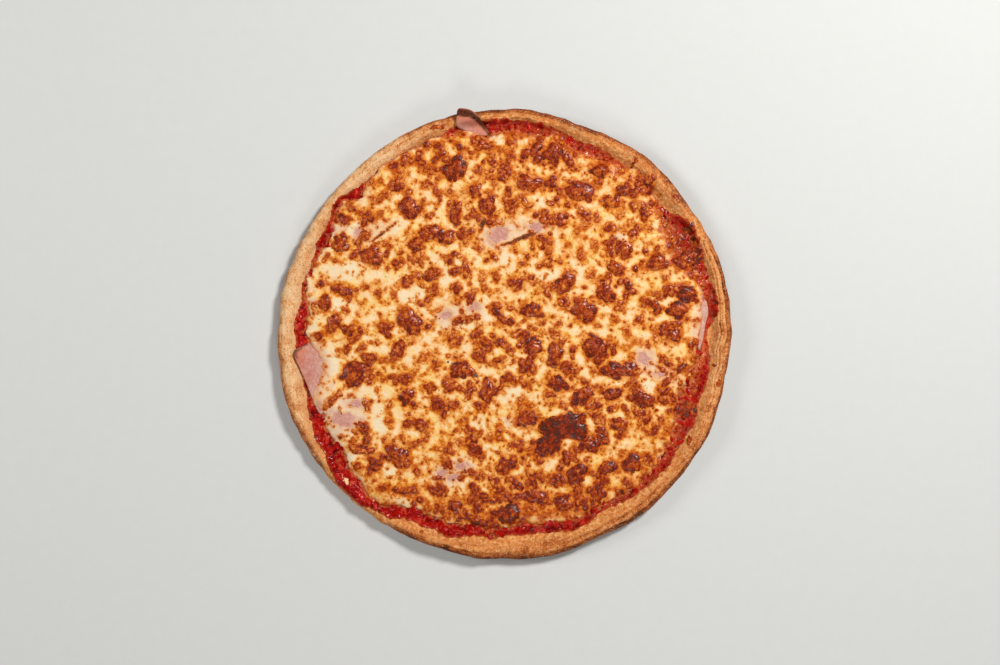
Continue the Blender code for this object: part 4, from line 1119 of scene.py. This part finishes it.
def sauceEdge(angles):
    radius = around(sauceOutline, angles)
    x, y = onTurn(142.0, angles)
    for size, amount, layer in sauce["wobble"]:
        radius = radius + amount * ripple(x, y, size, layer)
    return np.minimum(radius, around(rimOutline, angles) - 0.6)


def skinHeight(radius, angles):
    # height of the crust's skin, also on the outer side of the crest down to the waist
    start = crust["lowerSteps"]
    radii, heights = sections[0][start:][::-1], sections[1][start:][::-1]
    first = np.floor(angles).astype(int) % 360
    blend = angles - np.floor(angles)
    found = np.empty(np.shape(radius))
    for column in range(radius.shape[1]):
        a, b = first[column], (first[column] + 1) % 360
        here = np.interp(radius[:, column], radii[:, a], heights[:, a])
        there = np.interp(radius[:, column], radii[:, b], heights[:, b])
        found[:, column] = here * (1 - blend[column]) + there * blend[column]
    return found


def makeSauce(material):
    angles = np.arange(sauce["sectors"]) * 360 / sauce["sectors"]
    edge = sauceEdge(angles)
    inner = np.minimum(np.interp(angles, edgeAngles, edgeRadii, period=360), edge) - 5.0
    radius = inner + (edge - inner) * np.linspace(0, 1, sauce["rows"])[:, None]
    x, y = onTurn(radius, angles)
    lying = skinHeight(radius, angles)
    left = edge - radius
    thick = layers["sauce"] * np.clip(left / 4.0, 0, 1) ** 0.7
    body = layers["gap"] + thick * (0.9 + 0.1 * ripple(x, y, 10, 67))
    lump = sum(amount * ripple(x, y, size, layer, 2) for size, amount, layer in sauce["pulp"])
    z = lying + body + np.clip(lump + 0.2, -0.5, 1.5) * np.clip(left / 1.2, 0, 1)
    z[-1] = lying[-1] - 0.2
    z[0] = layers["base"] + layers["gap"] + layers["sauce"]
    count = len(angles)
    # the underside: a ring inside the crust at the edge, a ring under the cheese, and two middle points
    under = np.stack([x[-1] * 0.985, y[-1] * 0.985, np.minimum(lying[-1] - 1.0, 9.0)], axis=-1)
    bottom = layers["base"] + layers["gap"]
    ringIn = np.stack([x[0], y[0], np.full(count, bottom)], axis=-1)
    middles = [[0, 0, bottom], [0, 0, bottom + layers["sauce"]]]
    points = np.vstack([np.stack([x, y, z], axis=-1).reshape(-1, 3), under, ringIn, middles])
    start, last = sauce["rows"] * count, (sauce["rows"] - 1) * count
    faces = gridFaces(sauce["rows"], count, True)[:, ::-1].tolist()
    for sector in range(count):
        after = (sector + 1) % count
        faces.append([last + sector, start + sector, start + after, last + after])
        faces.append([start + sector, start + count + sector, start + count + after, start + after])
        faces.append([start + count + sector, start + 2 * count, start + count + after])
        faces.append([sector, after, start + 2 * count + 1])
    px, py = points[:, 0], points[:, 1]
    angle = np.degrees(np.arctan2(py, px))
    toEdge = np.interp(angle, angles, edge, period=360) - np.hypot(px, py)
    # the height of the lumps, which paints the sauce lighter on their tops and darker in the hollows
    paintedLumpShade = np.concatenate([(lump * np.clip(left, 0, 1)).ravel(), np.zeros(2 * count + 2)])
    piece = meshPiece("saucePulpy", points, faces, {
        "toEdge": np.clip(toEdge, 0, 30), "scorch": alongRim(sauce["scorched"], angle),
        "paintedLumpShade": paintedLumpShade, "nearCheese": 1 - smooth(-cheeseInset(px, py), 0.0, 2.6),
        "film": alongRim(sauce["film"], angle) * (1 - smooth(-cheeseInset(px, py), 3.0, 10.0)),
    })
    piece.data.materials.append(material)
    return piece


def pulpBits():
    # soft bits of tomato in the bare band of sauce
    draw = random.Random(layers["seed"] + 1)
    bits = []
    while len(bits) < sauce["bits"]:
        angle = draw.uniform(0, 360)
        edge = float(around(sauceOutline, angle)) - 1.0
        inner = edgeRadii[int(angle * 4) % len(edgeRadii)] - 0.5
        if edge <= inner:
            continue
        chance = (edge - inner) / 14 * (1 - 0.8 * float(alongRim(sauce["film"], angle)))
        if draw.random() > chance:
            continue
        reach = draw.uniform(inner, edge)
        x, y = reach * math.cos(math.radians(angle)), reach * math.sin(math.radians(angle))
        if min(float(outlineDistance(np.array(x), np.array(y), hamLoops[name])) for name in edgeHam) < 1.5:
            continue
        first, last = sauce["bitRadii"]
        size = last + (first - last) * draw.random() ** 2
        bits.append({"x": x, "y": y, "along": size * draw.uniform(1, 1.9), "across": size * 0.8,
                     "turn": draw.uniform(0, 180), "rise": 0.34 * size * draw.uniform(0.6, 1.2),
                     "brown": draw.uniform(0, 1), "style": 0.0})
    return bits


def makeHam(name, material):
    loop = hamLoops[name]
    xs, ys = [p[0] for p in loop], [p[1] for p in loop]
    step = ham["spacing"]
    rows = np.arange(min(ys), max(ys), step * 0.866)
    gx, gy = np.meshgrid(np.arange(min(xs), max(xs), step), rows, indexing="ij")
    gx = gx + 0.5 * step * (np.arange(gx.shape[1]) % 2)
    inside = outlineDistance(gx, gy, loop) < -0.5
    flat = [Vector(p) for p in loop] + [Vector(p) for p in zip(gx[inside], gy[inside])]
    edges = [(k, (k + 1) % len(loop)) for k in range(len(loop))]
    corners, _, triangles, sources = delaunay_2d_cdt(flat, edges, [], 1, 1e-4)[:4]
    home = {origin: number for number, origins in enumerate(sources) for origin in origins}
    px, py = np.array([c.x for c in corners]), np.array([c.y for c in corners])
    depth = -outlineDistance(px, py, loop)
    level = windowHamTop(px, py) if name in windowHam else edgeHamTop(px, py)
    level += 0.12 * ripple(px, py, 3.5, 71, 2)
    bead = np.sqrt(np.clip(depth / ham["roundOver"], 0, 1))
    top = level - ham["droop"] * (1 - bead)
    under = top - layers["ham"] * (0.35 + 0.65 * bead)
    count = len(px)
    points = np.vstack([np.stack([px, py, top], -1), np.stack([px, py, under], -1)])
    faces = []
    for a, b, c in triangles:
        if (corners[b] - corners[a]).cross(corners[c] - corners[a]) < 0:
            b, c = c, b
        faces += [[a, b, c], [count + c, count + b, count + a]]
    for k in range(len(loop)):
        a, b = home[k], home[(k + 1) % len(loop)]
        faces.append([a, count + a, count + b, b])
    rind, seared = np.zeros(count), np.zeros(count)
    if name in rinds:
        rind = 1 - smooth(lineDistance(px, py, rinds[name]) + 0.25 * ripple(px, py, 2, 72), -0.1, 0.5)
        rind *= rindShades[name]
        seared = 0.8 * (1 - smooth(lineDistance(px, py, rinds[name]), 0.0, 9.0))
    veil = smooth(cheeseInset(px, py) + 1.5 * ripple(px, py, 5, 73), -9.0, -1.0) * veils.get(name, 0.0)
    piece = meshPiece(name + "_slice", points, faces, {
        "rind": np.concatenate([rind, rind]), "depth": np.concatenate([depth, depth]),
        "veil": np.concatenate([veil, veil]), "seared": np.concatenate([seared, seared]),
    })
    piece.data.materials.append(material)
    return piece


# dried herb: x, y, radius of the large specks; how many in all, their radii, and the browning they keep to
herbs = {
    "large": ((-19.7, -29.2, 1.0), (-21.6, -28.4, 0.6), (-39.3, -19.7, 0.8), (-36.6, -20.6, 0.5),
              (-45.0, 10.0, 0.5)),
    "count": 34, "radii": (0.22, 0.4), "palest": 0.12,
}


# Materials

def shaderGroup(name, inputs, outputs):
    # a group of shader nodes; inputs are numbers by name, and outputs are kinds of socket by name
    group = bpy.data.node_groups.new(name, "ShaderNodeTree")
    for label, value in inputs.items():
        socket = group.interface.new_socket(label, in_out="INPUT", socket_type="NodeSocketFloat")
        socket.default_value = value
    for label, kind in outputs.items():
        group.interface.new_socket(label, in_out="OUTPUT", socket_type="NodeSocket" + kind)
    start = fieldsOf(group, group.nodes.new("NodeGroupInput"))
    return group, start, group.nodes.new("NodeGroupOutput").inputs


def placeGroup(tree, group, **values):
    # puts a group in a material with its own values and returns its outputs by name
    node = tree.nodes.new("ShaderNodeGroup")
    node.node_tree = group
    for key, value in values.items():
        plug(tree, value, node.inputs[key.replace("_", " ")])
    return fieldsOf(tree, node)


def mixColour(tree, share, under, over, blend="MIX"):
    # lays one colour over another by a share from 0 to 1
    node = addNode(tree, "ShaderNodeMix", data_type="RGBA", blend_type=blend)
    for socket, value in zip((node.inputs[0], node.inputs[6], node.inputs[7]), (share, under, over)):
        plug(tree, value, socket)
    return node.outputs[2]


def attribute(tree, name):
    return Field(tree, addNode(tree, "ShaderNodeAttribute", attribute_name=name).outputs["Fac"])


def grainGroup():
    # three sizes of noise on the piece, sizes in millimetres, each about 0 to 1
    sizes = {"Coarse Size": 8.0, "Middle Size": 2.0, "Fine Size": 0.6}
    kinds = {"Coarse": "Float", "Middle": "Float", "Fine": "Float"}
    group, start, end = shaderGroup("foodGrain", {**sizes, "Seed": 0.0}, kinds)
    place = addNode(group, "ShaderNodeTexCoord")
    for label in kinds:
        field = addNode(group, "ShaderNodeTexNoise", {
            "Vector": place.outputs["Object"], "W": start["Seed"], "Detail": 2.0, "Roughness": 0.55,
            "Scale": (1 / mm) / start[label + " Size"]}, noise_dimensions="4D")
        plug(group, field, end[label])
    return group


def speckGroup():
    # small round specks, 1 inside a speck: their spacing and size in millimetres, and the share of places
    # with one; "Cell" is 0 at the middle of each place and about 1 between them
    group, start, end = shaderGroup("foodSpecks", {"Spacing": 2.0, "Size": 0.3, "Share": 0.3},
                                    {"Mask": "Float", "Cell": "Float"})
    place = addNode(group, "ShaderNodeTexCoord")
    cells = addNode(group, "ShaderNodeTexVoronoi", {"Vector": place.outputs["Object"],
                                                    "Scale": (1 / mm) / start["Spacing"]})
    away = Field(group, cells.outputs["Distance"])
    dot = ((start["Size"] / start["Spacing"] - away) * 10.0).clamped()
    lot = fieldsOf(group, addNode(group, "ShaderNodeSeparateColor", {0: cells.outputs["Color"]}))["Red"]
    plug(group, dot * lot.step("LESS_THAN", lot, start["Share"]), end["Mask"])
    plug(group, (away * 1.4).clamped(), end["Cell"])
    return group


grain, specks = grainGroup(), speckGroup()


def newMaterial(name, **fixed):
    material = bpy.data.materials.new(name)
    material.use_nodes = True
    tree = material.node_tree
    shader = tree.nodes["Principled BSDF"]
    for key, value in fixed.items():
        plug(tree, value, shader.inputs[key.replace("_", " ")])
    return material, tree, shader


def paint(tree, shader, colour, roughness, height, distance, strength=1.0):
    # gives the surface its colour, its roughness and a relief of the given depth in millimetres
    plug(tree, colour, shader.inputs["Base Color"])
    plug(tree, roughness, shader.inputs["Roughness"])
    depth = {"Distance": distance * mm, "Strength": strength}
    relief = addNode(tree, "ShaderNodeBump", {"Height": height, **depth})
    plug(tree, relief, shader.inputs["Normal"])


cheeseLook = {
    # the colours that cheese goes through in the oven, from raw to charred
    "baked": ((0.00, (0.83, 0.61, 0.37)), (0.05, (0.83, 0.555, 0.28)), (0.13, (0.82, 0.450, 0.175)),
              (0.24, (0.76, 0.350, 0.100)), (0.35, (0.67, 0.228, 0.040)), (0.46, (0.55, 0.133, 0.016)),
              (0.57, (0.43, 0.073, 0.009)), (0.68, (0.32, 0.036, 0.005)), (0.80, (0.200, 0.018, 0.005)),
              (0.90, (0.115, 0.014, 0.006)), (1.00, (0.070, 0.021, 0.015))),
    "yellow": (1.0, 0.95, 0.60), "milky": (0.76, 0.67, 0.47), "overSauce": (0.42, 0.050, 0.014),
    "thinOverHam": (0.74, 0.55, 0.38), "hamThrough": (0.58, 0.29, 0.195), "glint": (0.78, 0.48, 0.34),
    "blotches": 0.12, "freckles": 0.22, "greasy": 0.28,
}


def cheeseMaterial():
    material, tree, shader = newMaterial("meltedCheese", Specular_IOR_Level=0.09,
                                         Coat_Roughness=0.19, Coat_IOR=1.4)
    look = cheeseLook
    fine = placeGroup(tree, grain, Coarse_Size=9.0, Middle_Size=2.0, Fine_Size=0.85, Seed=1.0)
    mottle = placeGroup(tree, grain, Coarse_Size=5.0, Middle_Size=3.4, Fine_Size=1.6, Seed=11.0)
    bubbles = placeGroup(tree, specks, Spacing=1.6, Size=0.28, Share=0.5)
    freckles = placeGroup(tree, specks, Spacing=2.3, Size=0.55, Share=0.45)
    skirt, style, pale, tint = (attribute(tree, name) for name in ("skirt", "style", "pale", "tint"))
    # a blister's skirt runs out into golden cheese
    brown = attribute(tree, "brown")
    brown = brown + skirt * (attribute(tree, "below") - brown)
    crisp = ((brown - 0.55) * 4.0).clamped()
    # blisters are lighter towards their tops, partly their own paler browning and partly a painted
    # highlight, and crisp cheese is a crowd of tiny bubbles, each painted lighter in its middle and darker
    # at its edge as highlight and shade
    top = (attribute(tree, "share") ** 1.3 * 0.44 - 0.09) * (1.0 - skirt)
    lively = crisp * (style * 1.6 + 0.2).clamped()
    tone = brown - style * top + (bubbles["Cell"] - 0.55) * 0.14 * lively
    # between raw and crisp the browning comes in blotches
    blotches = mottle["Middle"] * 0.7 + mottle["Fine"] * 0.3
    blotches = blotches.spread(0.43, 0.57, -look["blotches"], look["blotches"])
    tone = tone + blotches * (brown * 5.0).clamped()
    tone = tone + freckles["Mask"] * fine["Coarse"].spread(0.35, 0.6, 0.3, 1.0) * look["freckles"]
    tone = tone + (fine["Middle"] + fine["Fine"] - 1.0) * (crisp * 0.40 + 0.34)
    colour = (tone * 0.8).clamped().ramp(look["baked"])
    # some of it is a clear yellow, and thin cheese over ham is pinkish grey where it isn't browned
    yellow = fine["Coarse"].spread(0.45, 0.62) * (1.0 - pale) * 0.8
    colour = mixColour(tree, yellow, colour, look["yellow"], "MULTIPLY")
    pink = mixColour(tree, tint**2.0, look["thinOverHam"], look["hamThrough"])
    overHam = (tint * 2.0).clamped() * (1.0 - tone * 1.5).clamped()
    overHam = overHam * fine["Coarse"].spread(0.3, 0.6, 0.5, 1.0)
    colour = mixColour(tree, overHam, colour, pink)
    milky = pale * (1.0 - tone * 2.2).clamped() * fine["Coarse"].spread(0.3, 0.7)
    milky = milky * (1.0 - tint * 1.6).clamped()
    colour = mixColour(tree, milky * 0.62, colour, look["milky"])
    overSauce = attribute(tree, "saucy") * fine["Middle"].spread(0.25, 0.6, 0.5, 1.0)
    colour = mixColour(tree, overSauce * 0.8, colour, look["overSauce"])
    colour = mixColour(tree, bubbles["Mask"] * crisp * 0.45, colour, look["glint"])
    rugged = (fine["Middle"] * 0.9 + fine["Fine"] * 0.7) * (crisp * 0.40 + 0.25)
    rugged = rugged - bubbles["Cell"] * lively * 0.14
    paint(tree, shader, colour, fine["Middle"].spread(0.3, 0.7, 0.20, 0.36), rugged, 0.9)
    plug(tree, crisp * look["greasy"], shader.inputs["Coat Weight"])
    return material


sauceLook = {
    # the sauce's colours from dark to light; lump tops are painted towards the light end as a highlight and
    # hollows towards the dark end as shade
    "pulp": ((0.25, (0.10, 0.001, 0.001)), (0.42, (0.27, 0.002, 0.001)), (0.58, (0.40, 0.006, 0.003)),
             (0.80, (0.58, 0.060, 0.030))),
    "film": ((0.35, (0.38, 0.045, 0.012)), (0.60, (0.62, 0.16, 0.045))),
    "seed": (0.62, 0.17, 0.06), "nearCheese": (0.64, 0.19, 0.050), "burnt": (0.20, 0.030, 0.012),
    "dried": (0.46, 0.095, 0.020),
}


def sauceMaterial(name, bits=False):
    # the layer of sauce, or the bits of tomato in it
    material, tree, shader = newMaterial(name, Specular_IOR_Level=0.04, Coat_Weight=0.28,
                                         Coat_Roughness=0.12, Coat_IOR=1.4)
    look = sauceLook
    fine = placeGroup(tree, grain, Coarse_Size=6.0, Middle_Size=2.2, Fine_Size=0.9, Seed=3.0)
    seeds = placeGroup(tree, specks, Spacing=3.4, Size=0.5, Share=0.25)
    # the sauce is painted lighter on the tops of its lumps and darker in the hollows between them, a painted
    # highlight and shade; a bit of tomato keeps a tone of its own instead
    lumpShadeAndTone = attribute(tree, "brown" if bits else "paintedLumpShade")
    tone = fine["Middle"] * 0.60 + fine["Fine"] * 0.30 + lumpShadeAndTone * 0.20 + (fine["Coarse"] - 0.5) * 0.7
    colour = mixColour(tree, seeds["Mask"] * 0.5, tone.ramp(look["pulp"]), look["seed"])
    if not bits:
        film = (attribute(tree, "film") * fine["Middle"].spread(0.32, 0.54) * 1.1).clamped()
        colour = mixColour(tree, film, colour, fine["Fine"].ramp(look["film"]))
        near = attribute(tree, "nearCheese") * fine["Middle"].spread(0.35, 0.55)
        colour = mixColour(tree, near * 0.8, colour, look["nearCheese"])
        burnt = (attribute(tree, "scorch") * fine["Middle"].spread(0.38, 0.62)).clamped()
        colour = mixColour(tree, burnt * 0.7, colour, look["burnt"])
        # the very edge has dried dark
        dried = (1.0 - attribute(tree, "toEdge") / 2.0).clamped()
        dried = dried * fine["Middle"].spread(0.35, 0.6, 0.2, 1.0)
        colour = mixColour(tree, dried * 0.9, colour, look["dried"])
    rugged = fine["Middle"] * 0.8 + fine["Fine"] * 0.3
    paint(tree, shader, colour, fine["Fine"].spread(0.3, 0.7, 0.10, 0.26), rugged, 1.0)
    return material


crustLook = {
    "baked": ((0.20, (0.84, 0.54, 0.29)), (0.40, (0.76, 0.39, 0.165)), (0.58, (0.62, 0.235, 0.075)),
              (0.78, (0.42, 0.125, 0.034)), (0.96, (0.23, 0.062, 0.020)), (1.00, (0.12, 0.036, 0.015))),
    "oily": ((0.34, (0.50, 0.130, 0.030)), (0.50, (0.74, 0.270, 0.070)), (0.64, (0.88, 0.46, 0.17))),
    "warm": (0.94, 0.74, 0.53), "pale": (1.03, 1.02, 1.00), "underside": (0.22, 0.075, 0.026),
    "burnt": (0.15, 0.050, 0.026), "flour": (0.90, 0.62, 0.36), "pit": (0.24, 0.075, 0.024),
}


def crustMaterial():
    material, tree, shader = newMaterial("bakedCrust", Specular_IOR_Level=0.05)
    look = crustLook
    fine = placeGroup(tree, grain, Coarse_Size=14.0, Middle_Size=2.6, Fine_Size=0.8, Seed=5.0)
    flour = placeGroup(tree, specks, Spacing=1.4, Size=0.55, Share=0.45)
    pits = placeGroup(tree, specks, Spacing=2.0, Size=0.62, Share=0.40)
    pale, dark = attribute(tree, "pale"), attribute(tree, "darkEdge")
    tone = fine["Middle"] * 0.65 + fine["Fine"] * 1.20 + fine["Coarse"] * 0.50 - 0.575
    # hollows and folds in the relief are painted browner and its ridges paler, as painted shade and
    # highlight
    tone = tone + attribute(tree, "streak") * 0.12 - attribute(tree, "relief") * 0.42 - pale * 0.30
    # browner towards the outer edge where the oven was hottest
    outer = (1.0 - attribute(tree, "inset") / (dark * 4.5 + 2.2)).clamped()
    tone = tone + outer * (dark * 0.42 + 0.16)
    warmth = mixColour(tree, pale, look["warm"], look["pale"])
    colour = mixColour(tree, 1.0, tone.ramp(look["baked"]), warmth, "MULTIPLY")
    under = attribute(tree, "share").spread(0.15, 0.34, 1.0, 0.0)
    under = under * fine["Coarse"].spread(0.35, 0.62, 0.4, 1.0)
    colour = mixColour(tree, under, colour, look["underside"])
    burnt = (attribute(tree, "burnt") * fine["Middle"].spread(0.35, 0.6)).clamped()
    colour = mixColour(tree, burnt * 0.8, colour, look["burnt"])
    stain = attribute(tree, "nearSauce").spread(0.15, 0.75) * fine["Middle"].spread(0.25, 0.50, 0.3, 1.0)
    colour = mixColour(tree, stain * (pale * -0.65 + 0.95), colour, fine["Middle"].ramp(look["oily"]))
    colour = mixColour(tree, flour["Mask"] * 0.30, colour, look["flour"])
    colour = mixColour(tree, pits["Mask"] * 0.55, colour, look["pit"])
    rugged = fine["Middle"] * 0.6 + fine["Fine"] * 0.6
    paint(tree, shader, colour, fine["Coarse"].spread(0.3, 0.7, 0.60, 0.80), rugged, 1.6)
    return material


flakeLooks = {
    "burntRind": ((0.25, (0.10, 0.026, 0.011)), (0.38, (0.21, 0.055, 0.018)), (0.55, (0.44, 0.15, 0.045))),
    "driedHerb": ((0.25, (0.070, 0.050, 0.040)), (0.40, (0.20, 0.14, 0.085)), (0.60, (0.52, 0.36, 0.19))),
}


def flakeMaterial(name):
    # dark flakes on the cheese, with their colours from the middle to the edge
    material, tree, shader = newMaterial(name, Specular_IOR_Level=0.10)
    fine = placeGroup(tree, grain, Coarse_Size=4.0, Middle_Size=1.5, Fine_Size=0.6, Seed=8.0)
    tone = attribute(tree, "skirt") * 0.35 + fine["Middle"] * 0.6
    colour, roughness = tone.ramp(flakeLooks[name]), fine["Fine"].spread(0.3, 0.7, 0.3, 0.5)
    paint(tree, shader, colour, roughness, fine["Middle"], 0.6, 0.9)
    return material


hamLook = {
    "meat": ((0.30, (0.40, 0.125, 0.085)), (0.50, (0.52, 0.210, 0.160)), (0.72, (0.64, 0.36, 0.28))),
    "skin": ((0.38, (0.54, 0.265, 0.200)), (0.66, (0.64, 0.40, 0.325))),
    "rind": ((0.35, (0.045, 0.010, 0.004)), (0.65, (0.125, 0.032, 0.013))),
    "edge": (0.66, 0.32, 0.22), "seared": (0.56, 0.155, 0.075),
}


def hamMaterial(name, veiled):
    # veiled: how far a thin skin of melted cheese pales the meat and its rind
    material, tree, shader = newMaterial(name, Specular_IOR_Level=0.12)
    look = hamLook
    fine = placeGroup(tree, grain, Coarse_Size=7.0, Middle_Size=1.6, Fine_Size=0.5, Seed=7.0)
    near = (1.0 - attribute(tree, "depth") / 1.6).clamped()
    colour = (fine["Coarse"] * 0.6 + fine["Middle"] * 0.4).ramp(look["meat"])
    colour = mixColour(tree, near * 0.6, colour, look["edge"])
    seared = attribute(tree, "seared") * fine["Coarse"].spread(0.3, 0.6, 0.5, 1.0)
    colour = mixColour(tree, seared, colour, look["seared"])
    veil = attribute(tree, "veil")
    colour = mixColour(tree, veil.step("MAXIMUM", veil, veiled), colour, fine["Middle"].ramp(look["skin"]))
    rindShare = attribute(tree, "rind") * fine["Fine"].spread(0.3, 0.55, 1 - veiled, 1.0)
    colour = mixColour(tree, rindShare, colour, fine["Middle"].ramp(look["rind"]))
    rugged = fine["Middle"] + fine["Fine"] * 0.4
    paint(tree, shader, colour, fine["Middle"].spread(0.3, 0.7, 0.28, 0.48), rugged, 0.35, 0.7)
    return material


def floorMaterial():
    material, tree, shader = newMaterial("paleFloor", Roughness=0.8, Specular_IOR_Level=0.2)
    fine = placeGroup(tree, grain, Coarse_Size=60.0, Middle_Size=8.0, Fine_Size=1.2, Seed=9.0)
    tone = fine["Middle"] * 0.03 + 0.60
    shade = addNode(tree, "ShaderNodeCombineColor", {0: tone, 1: tone, 2: tone * 0.96})
    plug(tree, shade, shader.inputs["Base Color"])
    return material


def rindStreaks():
    # short dark flakes one after another along each streak
    draw = random.Random(layers["seed"] + 4)
    flakes = []
    for line in streaks:
        for (ax, ay, aw), (bx, by, bw) in zip(line, line[1:]):
            steps = math.ceil(math.hypot(bx - ax, by - ay) / 1.4)
            for step in range(steps):
                share = (step + draw.random()) / steps
                across = (aw + (bw - aw) * share) * draw.uniform(0.6, 1.5)
                flakes.append({"x": ax + (bx - ax) * share + draw.uniform(-0.3, 0.3),
                               "y": ay + (by - ay) * share + draw.uniform(-0.5, 0.5),
                               "along": across * draw.uniform(1.0, 1.9), "across": across, "rise": 0.3,
                               "turn": math.degrees(math.atan2(by - ay, bx - ax)) + draw.uniform(-25, 25),
                               "brown": 1.0, "style": 0.0})
    return flakes


def herbFlecks():
    # specks of dried herb: the few large ones, and tiny ones all over
    draw = random.Random(layers["seed"] + 5)
    places = [(*spot, 0.0) for spot in herbs["large"]]
    while len(places) < herbs["count"]:
        reach, angle = 132 * math.sqrt(draw.random()), draw.uniform(0, 2 * math.pi)
        x, y = reach * math.cos(angle), reach * math.sin(angle)
        if float(readBrown(np.array(x), np.array(y))) < herbs["palest"]:
            places.append((x, y, draw.uniform(*herbs["radii"]), draw.uniform(0, 1)))
    return [{"x": x, "y": y, "along": size * draw.uniform(1.0, 1.8), "across": size,
             "turn": draw.uniform(0, 180), "rise": 0.12, "brown": shade, "style": 0.0}
            for x, y, size, shade in places]


# Scene

studio = {
    "sky": 0.09, "floorHalf": 3000.0, "floorDrop": 0.3,
    # name: place in metres, size, power
    "lamps": {"key": ((0.62, 0.62, 1.00), 0.26, 17.2), "left": ((-1.05, 0.20, 0.80), 0.5, 6.2),
              "front": ((0.10, -1.10, 0.80), 0.5, 5.2)},
}
photoView = {
    "width": 1000, "height": 665, "mmPerPixel": 0.678, "pizzaAt": (506, 333),
    "lens": 50.0, "sensor": 36.0, "topHeight": 0.011,
}


def stageScene():
    half, drop = studio["floorHalf"], -studio["floorDrop"]
    corners = [(-half, -half, drop), (half, -half, drop), (half, half, drop), (-half, half, drop)]
    floor = meshPiece("floor", corners, [[0, 1, 2, 3]], smoothShade=False)
    floor.data.materials.append(floorMaterial())
    scene = bpy.context.scene
    scene.view_settings.view_transform = "Standard"
    world = bpy.data.worlds.new("softSky")
    scene.world = world
    world.use_nodes = True
    world.node_tree.nodes["Background"].inputs[0].default_value = (1.0, 0.99, 0.97, 1.0)
    world.node_tree.nodes["Background"].inputs[1].default_value = studio["sky"]
    for name, (place, size, power) in studio["lamps"].items():
        light = bpy.data.lights.new(name, "AREA")
        light.shape, light.size, light.energy = "DISK", size, power
        lamp = bpy.data.objects.new(name, light)
        lamp.location = place
        lamp.rotation_euler = (-Vector(place)).to_track_quat("-Z", "Y").to_euler()
        scene.collection.objects.link(lamp)
    camera = bpy.data.cameras.new("photoCamera")
    camera.lens, camera.sensor_width = photoView["lens"], photoView["sensor"]
    camera.sensor_fit = "HORIZONTAL"
    holder = bpy.data.objects.new("photoCamera", camera)
    scene.collection.objects.link(holder)
    across = photoView["width"] * photoView["mmPerPixel"] * mm
    x = (photoView["width"] / 2 - photoView["pizzaAt"][0]) * photoView["mmPerPixel"] * mm
    y = (photoView["pizzaAt"][1] - photoView["height"] / 2) * photoView["mmPerPixel"] * mm
    holder.location = (x, y, photoView["topHeight"] + across * photoView["lens"] / photoView["sensor"])
    scene.camera = holder


def finishPiece(piece, slot, *nodes):
    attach(piece, "root")
    if nodes:
        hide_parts(*nodes)
    print("piece", piece.name, len(piece.data.polygons), "faces")


# the pieces made of small domes: the size and depth of their unevenness where it isn't the tree's own
domeLooks = {
    "cheeseLobes": {"Warp Size": 4.2, "Warp": 1.5, "Grain": 0.25, "Seed": 3},
    "tomatoBits": {"Seed": 6},
    "cheeseBubbles": {"Seed": 7},
    "cheeseBlisters": {"Warp Size": 2.6, "Warp": 0.8, "Grain": 0.12, "Seed": 4},
    "cheeseDots": {"Warp": 0.2, "Seed": 5},
    "hamRinds": {"Seed": 8},
    "herbFlecks": {"Warp": 0.2, "Seed": 9},
}

stageScene()
crustPiece, saucePiece = makeCrust(crustMaterial()), makeSauce(sauceMaterial("tomatoSauce"))
cheeseFinish = cheeseMaterial()
cheesePiece = makeCheese(cheeseFinish)
finishPiece(crustPiece, "crust", "crust")
finishPiece(saucePiece, "sauce", "sauce")
finishPiece(cheesePiece, "cheese", "cheese")

domeMeshes = {"broad": (15, 4), "medium": (12, 3), "small": (9, 3), "dot": (7, 2)}  # segments and rings
helpers = {kind: domeHelper(kind + "Dome", *counts) for kind, counts in domeMeshes.items()}
tree = drapeTree()
surface = joinedCopy("lyingSurface", (crustPiece, saucePiece, cheesePiece))


def finishDomes(name, domes, helper, material, slot, *nodes):
    made = makeDomes(name, domes, helpers[helper], surface, tree, material, domeLooks[name])
    finishPiece(made, slot, *nodes)
    return made


draw = random.Random(layers["seed"] + 2)
strays = [dome for bit in strayBits for dome in patchDomes(bit, draw)]
lobes = finishDomes("cheeseLobes", broadDomes + strays, "broad", cheeseFinish, "cheese", "cheese")
finishDomes("tomatoBits", pulpBits(), "small", sauceMaterial("tomatoPulp", True), "sauce", "sauce")
bpy.data.objects.remove(surface)
surface = joinedCopy("lyingSurface", (crustPiece, saucePiece, cheesePiece, lobes))
finishDomes("cheeseBubbles", patchBubbles(draw), "small", cheeseFinish, "cheese", "cheese")
finishDomes("cheeseBlisters", mediumDomes, "medium", cheeseFinish, "cheese", "cheese")
finishDomes("cheeseDots", dots, "dot", cheeseFinish, "cheese", "cheese")
finishDomes("hamRinds", rindStreaks(), "small", flakeMaterial("burntRind"), "ham")
finishDomes("herbFlecks", herbFlecks(), "dot", flakeMaterial("driedHerb"), "cheese")
for helper in (*helpers.values(), surface):
    bpy.data.objects.remove(helper)

bareHam, veiledHam = hamMaterial("curedHam", 0.0), hamMaterial("veiledHam", 0.4)
for hamName in hamLoops:
    finishPiece(makeHam(hamName, veiledHam if hamName in windowHam else bareHam), "ham", hamName)
